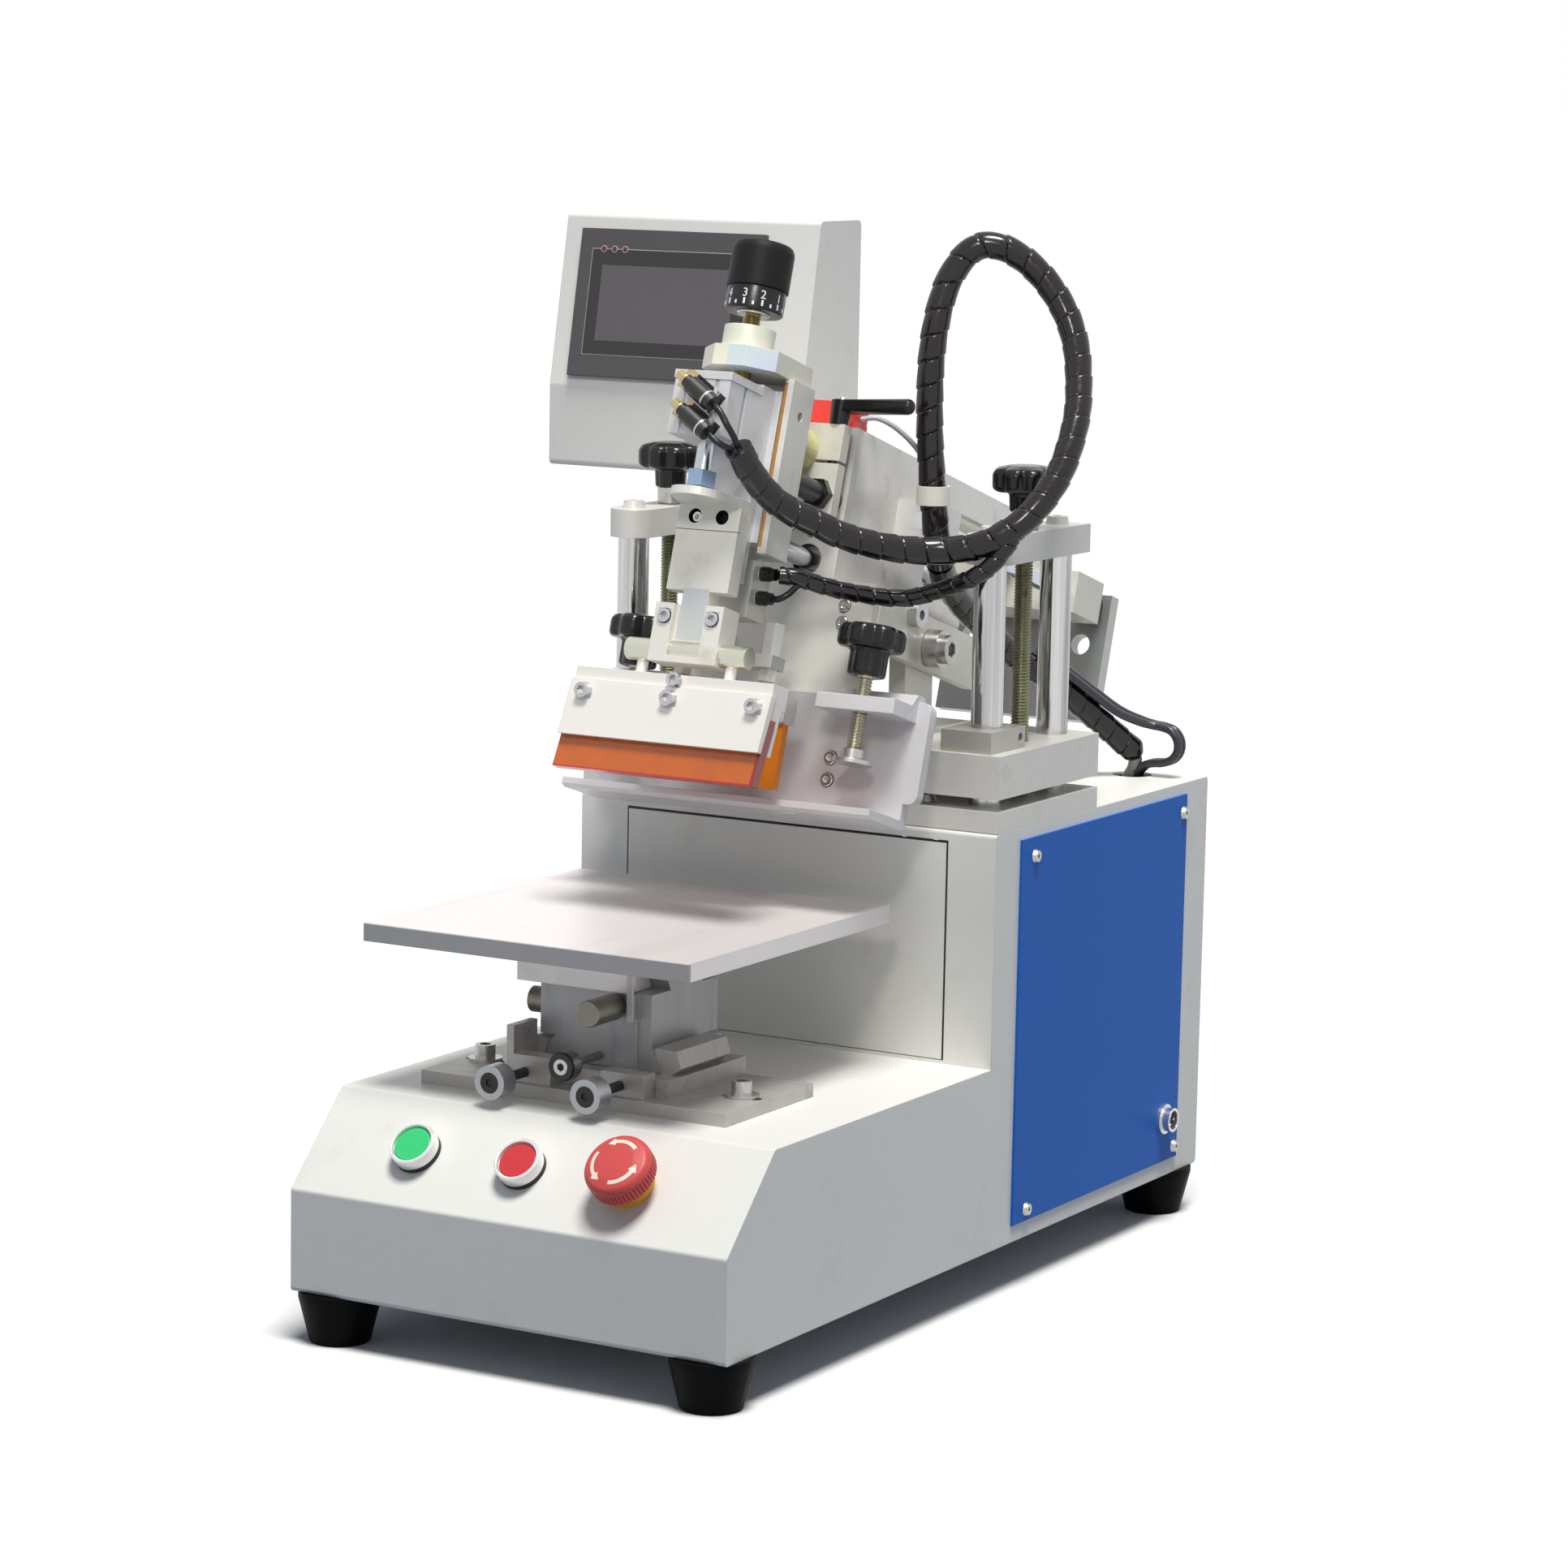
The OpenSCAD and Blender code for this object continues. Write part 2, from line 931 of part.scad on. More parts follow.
module arm_side_frames()
{
    color("#cfcfca")
    at_arm()
    {
        for (x = [arm_x - 31, arm_x + 24])
            side_plate(x, 7, [
                [-71.5, 20], [-71.5, 121], [165, 121], [165, 101], [46, 101], [34, 89], [34, 20]
            ], 3);
        // top tie and cylinder seat between the two frames
        block([arm_x - 24, -71.5, 117.4], [arm_x + 24, 40, 121]);
        difference()
        {
            block([arm_x - 24, 22, 22], [arm_x + 24, 34, 56]);
            along_y(160, 21, 36, 26, 20);
        }
        // outboard seats of the guide rods
        for (side = [-1, 1])
            difference()
            {
                block(
                    [arm_x + (side < 0 ? -57 : 31), -14, 64],
                    [arm_x + (side < 0 ? -31 : 57), 24, 92]
                );
                along_y(arm_x + side * 48, -15, 78, rod_d, 60);
            }
    }
}

module screen_holder()
{
    color("#e3e2dc")
    at_arm()
    difference()
    {
        union()
        {
            // back plate and bottom lip
            side_plate(41, 218, [
                [-79.5, -60], [-87.5, -60], [-87.5, -121], [-127.5, -121], [-127.5, -125],
                [-124, -127], [-83, -127], [-79.5, -123]
            ]);
            // wider back plate with rounded corners
            translate([0, -79.5, 0])
                rotate([90, 0, 0])
                    linear_extrude(8)
                        offset(r = 6)
                            offset(delta = -6)
                                translate([32, -111])
                                    square([236, 63]);
            // raised ends with the arms over the frame
            for (side = [-1, 1])
            {
                x0 = side < 0 ? 41 : arm_x + 55;
                side_plate(x0, 54, [
                    [-79.5, -60], [-79.5, -44], [-90, -44], [-96, -51.5], [-118.5, -51.5],
                    [-118.5, -61], [-87.5, -61]
                ], 0.5);
                block([x0, -87.5, -64], [x0 + 54, -79.5, -56]);
            }
        }
        for (side = [-1, 1])
            along_z(arm_x + side * 81, -108.5, -70, 10 + 2 * run, 20);
        for (side = [-1, 1])
            for (h = [-87.3, -101])
                along_y(arm_x + side * 54.5, -90, h, 9.5, 6);
        // handling slot in the lip
        block([100, -116, -130], [200, -110, -120]);
    }
}

// star knob with its spindle, in the frame of the arm
module clamp_screw(x, drop)
{
    color("#2a2a2c")
    at_arm()
        translate([x, -108.5, -drop])
        {
            translate([0, 0, -22])
                difference()
                {
                    rotate_extrude($fn = 48)
                        polygon([
                            [0, 0], [19, 0], [21, 2], [21, 11], [19, 14.5], [10, 15.5], [0, 15.5]
                        ]);
                    for (a = [0:60:300])
                        rotate([0, 0, a])
                            translate([25, 0, -1])
                                cylinder(d = 14, h = 20, $fn = 20);
                }
            translate([0, 0, -38.5])
                cylinder(d = 24, h = 16.6);
            translate([0, 0, -86])
                cylinder(d = 10, h = 48);
        }
}

// swivel pad on the end of the spindle
module clamp_pad(x, drop)
{
    color("#c9cacc")
    at_arm()
        translate([x, -108.5, -drop])
            difference()
            {
                union()
                {
                    translate([0, 0, -92.7])
                        cylinder(d = 25, h = 2.4);
                    translate([0, 0, -90.3])
                        cylinder(d1 = 25, d2 = 15, h = 1.6);
                    translate([0, 0, -88.7])
                        cylinder(d = 14, h = 5);
                }
                translate([0, 0, -86.4])
                    cylinder(d = 10 + 2 * run, h = 10);
            }
}

module clamp_screw_left()
    clamp_screw(arm_x - 81, 7);

module clamp_pad_left()
    clamp_pad(arm_x - 81, 7);

module clamp_screw_right()
    clamp_screw(arm_x + 81, 0);

module clamp_pad_right()
    clamp_pad(arm_x + 81, 0);

module guide_rods()
{
    color("#b7bbc2")
    at_arm()
    {
        for (side = [-1, 1])
        {
            along_y(arm_x + side * 48, -14, 78, rod_d, 264);
            // rubber stop ring in front of the end plate
            along_y(arm_x + side * 48, 240, 78, 17, 6);
        }
        difference()
        {
            translate([0, 261, 0])
                rotate([90, 0, 0])
                    linear_extrude(11)
                        difference()
                        {
                            translate([90, 0])
                                square([120, 87]);
                            for (side = [-1, 1])
                            {
                                translate([arm_x + side * 42, 52])
                                    circle(d = 14);
                                translate([arm_x + side * 24, 54])
                                    circle(d = 14);
                            }
                        }
        }
    }
}

module stroke_cylinder()
{
    color("#b9bcc0")
    at_arm()
    difference()
    {
        union()
        {
            along_y(160, -71.5, 36, 26, 180);
            along_y(160, 108.5, 36, 18, 8);
            block([154, 92, 46], [166, 102, 55]);
        }
        along_y(160, -72, 36, rod_d + 2 * run, 170);
    }
}

module ram_clamp_bracket()
{
    color("#dedccb")
    at_arm()
    {
        difference()
        {
            block([arm_x - 31, -97, 62], [arm_x + 31, -88, 119]);
            along_y(arm_x, -98, ram_z, ram_d + 2 * run, 20);
            block([arm_x + 10, -98, 94], [arm_x + 32, -87, 96]);
            along_z(arm_x + 24, -92.5, 84, 6 + 2 * run, 40);
            along_y(arm_x + 21, -98, 74, 14, 12);
        }
        // spacers to the front plate
        for (x = [arm_x - 24, arm_x + 4])
            along_y(x, -88, 72, 10, 8.5);
        along_y(arm_x - 24, -88, 112, 10, 8.5);
        // shock absorber with its two lock nuts
        along_y(arm_x + 21, -137, 74, 14, 57.4);
        along_y(arm_x + 21, -103, 74, 20, 6, $fn = 6);
    }
}

module clamp_lever()
{
    color("#1f1f21")
    at_arm()
        translate([arm_x + 24, -92.5, 119.3])
        {
            cylinder(d1 = 12, d2 = 13.5, h = 15);
            translate([0, 0, -30])
                cylinder(d = 6, h = 30);
            hull()
            {
                translate([0, 0, 8])
                    cylinder(d = 11, h = 7);
                translate([46, 0, 14])
                    sphere(d = 10, $fn = 20);
            }
        }
}

module proximity_sensor()
{
    color("#d9372c")
    at_arm()
    {
        block([arm_x - 12, -78, 121], [arm_x + 26, -60, 126]);
        block([arm_x - 10, -77, 126], [arm_x + 26, -61, 138]);
    }
}

// carriage that slides along the arm

module ram_carriage()
{
    color("#d6d4c4")
    at_arm()
    {
        // hollow ram
        difference()
        {
            along_y(arm_x, -138, ram_z, ram_d, 373);
            along_y(arm_x, -132, ram_z, ram_d - 6, 361);
        }
        // piston rod beside it
        along_y(160, -138, 36, rod_d, 223);
        // carriage block on the guide rods
        difference()
        {
            union()
            {
                block([arm_x - 60, 195, 64], [arm_x + 60, 235, 92]);
                block([arm_x - 21, 195, 64], [arm_x + 21, 235, 120]);
            }
            for (side = [-1, 1])
                along_y(arm_x + side * 48, 194, 78, rod_d + 2 * run, 50);
            along_y(arm_x, 194, ram_z, ram_d, 50);
        }
    }
}

module head_channel()
{
    color("#cfcfc9")
    at_arm()
    {
        difference()
        {
            block([arm_x - 30, -165, 22], [arm_x + 30, -138, 130]);
            block([arm_x - 24, -166, 21], [arm_x + 24, -146.4, 131]);
            for (h = [48, 110])
                along_x(arm_x - 31, -151, h, 6, 62);
        }
        // chamfered cap plate that carries the height dial
        translate([0, 0, 130])
            difference()
            {
                linear_extrude(13)
                    polygon([
                        [arm_x - 26, -138], [arm_x + 26, -138], [arm_x + 26, -182],
                        [arm_x + 11, -196], [arm_x - 11, -196], [arm_x - 26, -182]
                    ]);
                translate([arm_x, -176, -1])
                    cylinder(d = 10.1, h = 20);
            }
        // fixed index collar of the dial
        difference()
        {
            along_z(arm_x, -176, 143, 32, 14);
            along_z(arm_x, -176, 142, 10.1, 20);
        }
        // flood cylinder below the channel
        difference()
        {
            block([arm_x - 15, -150, -15], [arm_x + 15, -128, 20]);
            along_z(arm_x, -139, -16, 6 + 2 * run, 32);
        }
        block([arm_x - 15, -146.4, 20], [arm_x + 15, -138, 24]);
        // its two push-in fittings
        for (h = [14, -1])
        {
            along_x(arm_x + 15, -139, h, 9, 6);
            along_x(arm_x + 21, -139, h, 7.4, 4);
        }
    }
}

module height_dial()
{
    color("#222224")
    at_arm()
        translate([arm_x, -176, 0])
        {
            translate([0, 0, 167])
                rotate_extrude($fn = 60)
                    polygon([
                        [0, 0], [18.5, 0], [18.5, 13.5], [17.5, 14], [19.2, 15], [19.2, 41],
                        [17.5, 43.5], [0, 43.5]
                    ]);
            translate([0, 0, 112])
                cylinder(d = 10, h = 55);
        }
}

module squeegee_cylinder()
{
    color("#c8cacd")
    at_arm()
    {
        difference()
        {
            block([arm_x - 19.2, -220.4, 81], [arm_x + 19.2, -182, 115]);
            along_z(arm_x, -203, 80, 10 + 2 * run, 30);
            // grooves of the cylinder profile
            for (side = [-1, 1])
                block([arm_x + side * 19.2 - 2, -203, 80], [arm_x + side * 19.2 + 2, -199.4, 116]);
            for (side = [-1, 1])
                block([arm_x + side * 10 - 1.5, -221, 80], [arm_x + side * 10 + 1.5, -218.8, 116]);
        }
        block([arm_x - 20, -221, 115], [arm_x + 20, -182, 120]);
        // backing block that rides in the channel
        difference()
        {
            union()
            {
                block([arm_x - 19.2, -182, 81], [arm_x + 19.2, -166, 122]);
                block([arm_x - 19.2, -174, 2], [arm_x + 19.2, -166, 81]);
                block([arm_x - 23.6, -166, 28], [arm_x + 23.6, -146.8, 122]);
            }
            along_z(arm_x, -176, 100, 10.1, 30);
        }
        // push-in fittings that slant down to the right
        for (p = [[-3.5, 109.5], [-4, 92]])
            translate([arm_x + p[0], -227.4, p[1]])
            {
                rotate([-90, 0, 0])
                    cylinder(d = 7, h = 8);
                rotate([0, 90 + 33, 0])
                {
                    translate([0, 0, -11])
                        cylinder(d = 6.4, h = 7, $fn = 6);
                    translate([0, 0, -5])
                        cylinder(d = 8.4, h = 5);
                    cylinder(d = 11.4, h = 15);
                    translate([0, 0, 15])
                        cylinder(d1 = 12, d2 = 10.6, h = 5.5);
                }
            }
    }
}

module squeegee_slide()
{
    color("#dddbd2")
    at_arm()
    {
        // piston rod, nut and coupling flange
        along_z(arm_x, -203, 62, 10, 28);
        along_z(arm_x, -203, 52, 19, 10, $fn = 6);
        hull()
        {
            along_z(arm_x, -203, 45, 34, 5);
            block([arm_x - 21.5, -186.8, 45], [arm_x + 21.5, -174.4, 50]);
        }
        along_z(arm_x, -203, 50, 8, 3);
        // slider plate with its narrower tongue
        difference()
        {
            translate([0, -174.4, 0])
                rotate([90, 0, 0])
                    linear_extrude(12.4)
                        union()
                        {
                            translate([arm_x - 21.5, -8])
                                square([43, 53]);
                            translate([arm_x - 9, -38])
                                square([18, 31]);
                        }
            for (x = [arm_x - 10, arm_x + 9])
                along_y(x, -188, 38, 9, 8);
        }
        // forked block around the cross shaft
        difference()
        {
            block([arm_x - 23.7, -191.3, -53], [arm_x + 23.7, -172, -17]);
            block([arm_x - 11, -192, -49], [arm_x + 11, -186.8, -16]);
            along_x(arm_x - 30, -183, -45.5, 14 + 2 * run, 60);
            for (side = [-1, 1])
                along_y(arm_x + side * 16.7, -192, -25.2, 9.6, 5.4);
        }
        for (side = [-1, 1])
            translate([arm_x + side * 16.7, -187.2, -25.2])
                rotate([90, 0, 0])
                    cap_screw(5.5, 4);
    }
}

module squeegee_holder()
{
    color("#e4e3df")
    at_arm()
    {
        // cross shaft and the two hanger studs
        along_x(arm_x - 42, -183, -45.5, 14, 84);
        for (side = [-1, 1])
            along_z(arm_x + side * 31, -183, -62, 7, 14);
        // rail and rear jaw
        side_plate(squeegee_x0 + 1, squeegee_width - 2, [
            [-195, -61], [-195, -68.4], [-191.7, -68.4], [-194.5, -82.6], [-187.4, -82.6],
            [-191.6, -104], [-185.5, -104], [-181, -75], [-177, -75], [-177, -61]
        ]);
        // front jaw
        side_plate(squeegee_x0, squeegee_width, [
            [-197.4, -68.6], [-203.4, -104], [-198.9, -104], [-191.8, -68.6]
        ]);
        for (x = [91.5, arm_x + 1.5, 210.5])
            translate([x, -198.1, -75.8])
                rotate([90 + 9.6, 0, 0])
                    cap_screw(6, 0.5);
        translate([arm_x + 1.5, -194.6, -64.4])
            rotate([90, 0, 0])
                cap_screw(5.5, 0.5);
    }
}

module squeegee_blade()
{
    color("#e0701a")
    at_arm()
        side_plate(squeegee_x0, squeegee_width, [
            [-194.6, -82.8], [-202.7, -124], [-195.9, -124.6], [-187.5, -82.8]
        ]);
}

module flood_blade_unit()
{
    color("#cfd0d0")
    at_arm()
    {
        // piston rod, nut and cross bar
        along_z(arm_x, -139, -36, 6, 31);
        along_z(arm_x, -139, -32, 11, 6, $fn = 6);
        block([arm_x - 36, -146, -44], [arm_x + 36, -130, -36]);
        for (side = [-1, 1])
        {
            along_z(arm_x + side * 30, -138, -36, 13, 20, $fn = 6);
            along_z(arm_x + side * 30, -138, -52, 12, 8, $fn = 6);
            along_z(arm_x + side * 30, -138, -62, 6, 12);
        }
        // rail and blade
        block([arm_x - flood_width / 2, -145, -76], [arm_x + flood_width / 2, -131, -60]);
        block([arm_x - flood_width / 2, -143, -117], [arm_x + flood_width / 2, -137, -74]);
    }
}

// on the sloping face of the console, z along the slope
module at_panel()
    translate([0, 450.3, 518])
        rotate([-atan2(21, 114), 0, 0])
            children();

module console_box()
{
    color("#dad9d5")
    at_cabinet()
    {
        difference()
        {
            side_plate(-115, console_width, [
                [449, 457], [449, 511], [470, 625], [523, 625], [523, 457]
            ], 4);
            side_plate(-113, console_width - 4, [
                [451, 459], [451, 511], [472, 623], [521, 623], [521, 459]
            ], 3);
            // cut-out for the touch panel
            at_panel()
                block([-96.4, -1, 2.6], [38.4, 5, 94.4]);
            // cable entry from the post
            block([19, 484, 456], [41, 506, 460]);
        }
        // square post down to the cabinet roof
        difference()
        {
            block([17, 482, box_height], [43, 508, 459]);
            block([19, 484, box_height - 1], [41, 506, 460]);
        }
        difference()
        {
            block([0, 466, box_height], [60, 524, box_height + 5]);
            along_z(30, 495, box_height - 1, 18, 10);
        }
    }
}

// touch panel set into the sloping face of the console
module touch_panel()
{
    color("#33353a")
    at_cabinet()
        at_panel()
            difference()
            {
                union()
                {
                    block([-100, -4.3, -1], [42, -0.4, 98]);
                    block([-96, -0.4, 3], [38, 14, 94]);
                }
                block([-86, -5, 14], [30, -3.5, 84]);
            }
}

// cords

// tube swept along rounded points with a mitred ring at every point
function unit(v) = v / norm(v);

function tangent(p, i) =
    i == 0 ? unit(p[1] - p[0])
    : i == len(p) - 1 ? unit(p[i] - p[i - 1])
    : unit(unit(p[i + 1] - p[i]) + unit(p[i] - p[i - 1]));

function carry(n, t) = unit(n - (n * t) * t);

function frames(p, i = 0, n = [1, 0.1, 0.05]) =
    i == len(p) ? []
    : let (m = carry(n, tangent(p, i))) concat([m], frames(p, i + 1, m));

module swept_tube(p, d, sides = 8)
{
    n = frames(p);
    points = [
        for (i = [0:len(p) - 1])
            let (t = tangent(p, i), b = cross(t, n[i]))
                for (k = [0:sides - 1])
                    p[i] + d / 2 * (cos(360 * k / sides) * n[i] + sin(360 * k / sides) * b)
    ];
    walls = [
        for (i = [0:len(p) - 2])
            for (k = [0:sides - 1])
                [
                    i * sides + k, (i + 1) * sides + k,
                    (i + 1) * sides + (k + 1) % sides, i * sides + (k + 1) % sides
                ]
    ];
    first = [for (k = [0:sides - 1]) k];
    last = [for (k = [sides - 1:-1:0]) (len(p) - 1) * sides + k];
    polyhedron(points, concat([first], walls, [last]));
}

// band round the vertical run, with a foot to the seat of the guide rod
module hose_clip()
{
    color("#eceadf")
    {
        at_cabinet()
            translate([216.2, 378.6, 455])
                difference()
                {
                    cylinder(d = 21.2, h = 12);
                    translate([0, 0, -1])
                        cylinder(d = 18.2, h = 14);
                }
        at_arm()
            translate([0, 0, 85])
                linear_extrude(6)
                    polygon([[208.9, -26.8], [214.2, -23.2], [206.5, -14], [199, -14]]);
    }
}

module head_hoses()
{
    color("#27262b")
    at_cabinet()
    {
        swept_tube(head_route, 17, 8);
        swept_tube(upper_feed_route, 3.6, 8);
        swept_tube(lower_feed_route, 3.6, 8);
        swept_tube(branch_route, 11, 8);
        swept_tube(branch_feed_route, 4, 8);
    }
}

module cable_bundle()
{
    color("#27262b")
    at_cabinet()
    {
        swept_tube(loop_route, 17, 8);
        swept_tube(sensor_route, 3.4, 8);
    }
}

module rear_hoses()
{
    color("#27262b")
    at_cabinet()
    {
        swept_tube(rear_route, 17, 8);
        swept_tube(tube_route, 6, 8);
    }
}

cabinet_shell();
front_access_panel();
right_side_panel();
rubber_feet();
machine_screws();
power_socket();
button_bezels();
start_button_cap();
stop_button_cap();
estop_collar();
estop_head();
power_and_valve_units();
table_base_plate();
stage_bed();
adjuster_brackets();
thumb_screw_left();
thumb_screw_right();
stage_carriage();
stage_lock_knob();
depth_feed_screw();
side_feed_knob();
work_table();
lower_mount_plate();
guide_posts();
top_brackets();
lift_plate();
lift_screw_left();
star_knob_left();
lift_screw_right();
star_knob_right();
post_clamp();
pivot_supports();
pivot_bolts();
arm_front_plate();
arm_levers();
arm_side_frames();
screen_holder();
clamp_screw_left();
clamp_pad_left();
clamp_screw_right();
clamp_pad_right();
guide_rods();
stroke_cylinder();
ram_clamp_bracket();
clamp_lever();
proximity_sensor();
ram_carriage();
head_channel();
height_dial();
squeegee_cylinder();
squeegee_slide();
squeegee_holder();
squeegee_blade();
flood_blade_unit();
console_box();
touch_panel();
hose_clip();
head_hoses();
cable_bundle();
rear_hoses();
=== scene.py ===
"""Bench-top screen printing machine, set in the frame of its CAD model.

Every length is written in millimetres and goes into the mesh in metres.
Cabinet lengths start at the cabinet's front lower left corner. Arm lengths
start at the arm's pivot: x across, a backwards along the arm, h square to it.
"""

import math

import bmesh
import bpy
import numpy as np
from mathutils import Matrix, Vector


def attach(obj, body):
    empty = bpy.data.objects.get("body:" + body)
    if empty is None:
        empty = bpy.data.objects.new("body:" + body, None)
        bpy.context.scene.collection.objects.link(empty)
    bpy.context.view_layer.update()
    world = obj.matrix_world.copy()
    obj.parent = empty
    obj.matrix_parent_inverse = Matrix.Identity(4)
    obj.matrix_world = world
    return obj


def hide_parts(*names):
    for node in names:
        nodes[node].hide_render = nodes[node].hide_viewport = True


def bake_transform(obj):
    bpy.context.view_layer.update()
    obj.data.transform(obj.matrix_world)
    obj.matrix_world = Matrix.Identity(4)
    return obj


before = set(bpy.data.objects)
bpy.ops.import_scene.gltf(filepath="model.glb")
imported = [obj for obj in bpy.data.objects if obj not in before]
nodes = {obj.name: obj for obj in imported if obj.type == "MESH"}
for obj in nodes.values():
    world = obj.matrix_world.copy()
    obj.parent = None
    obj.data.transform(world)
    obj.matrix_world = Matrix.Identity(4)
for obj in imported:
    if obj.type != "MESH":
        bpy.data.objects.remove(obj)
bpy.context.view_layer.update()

# ---------------------------------------------------------------- camera
# The photograph's own viewpoint, worked out from the cabinet's straight
# edges: thirty degrees to the right of the front and a little above.
azimuth, elevation, roll = (math.radians(v) for v in (29.969, 8.587, 1.116))
back = np.array([
    math.sin(azimuth) * math.cos(elevation),
    -math.cos(azimuth) * math.cos(elevation),
    math.sin(elevation),
])
level = np.cross([0, 0, 1], back)
level /= np.linalg.norm(level)
upright = np.cross(back, level)
right = math.cos(roll) * level + math.sin(roll) * upright
up = -math.sin(roll) * level + math.cos(roll) * upright
camera_data = bpy.data.cameras.new("camera")
camera_data.lens = 108.63
camera_data.sensor_width = 36
camera_data.clip_start = 0.05
camera_data.clip_end = 40
camera = bpy.data.objects.new("camera", camera_data)
eye = (1.47847, -2.38323, 0.50398)
camera.matrix_world = Matrix((*zip(right, up, back, eye), (0, 0, 0, 1)))
bpy.context.scene.collection.objects.link(camera)
bpy.context.scene.camera = camera

# ---------------------------------------------------------------- hoses
# Air hoses and wires in glossy black spiral wrap: a plastic ribbon wound
# round the bundle, each turn lying a little over the one before. A loop
# stands above the right-hand column so that the arm and the head can move.
CABINET = Matrix.Translation((-133.4, -161.9, -218.2))
ARM_TILT = Matrix.Rotation(math.radians(-17), 4, "X")
ARM = CABINET @ Matrix.Translation((0, 385, 364)) @ ARM_TILT


def in_metres(points, place=CABINET):
    """Points in millimetres, turned and moved by the place matrix and divided by a thousand."""
    m = np.array(place)
    return (np.asarray(points, float) @ m[:3, :3].T + m[:3, 3]) / 1000


def linear(code):
    """The three linear values of an sRGB hex colour: ((c + 0.055) / 1.055) to the power 2.4."""
    c = np.array([int(code[i:i + 2], 16) for i in (1, 3, 5)]) / 255
    return (*np.where(c <= 0.04045, c / 12.92, ((c + 0.055) / 1.055) ** 2.4), 1.0)


def wire(material, kind, settings=None, **sockets):
    """Adds one shader node; a socket is given a plain value or another node's output."""
    node = material.node_tree.nodes.new("ShaderNode" + kind)
    for key, value in (settings or {}).items():
        setattr(node, key, value)
    for key, value in sockets.items():
        numbered = key[1:].isdigit()
        socket = node.inputs[int(key[1:]) if numbered else key.replace("_", " ")]
        if isinstance(value, bpy.types.NodeSocket):
            material.node_tree.links.new(value, socket)
        else:
            socket.default_value = value
    return node


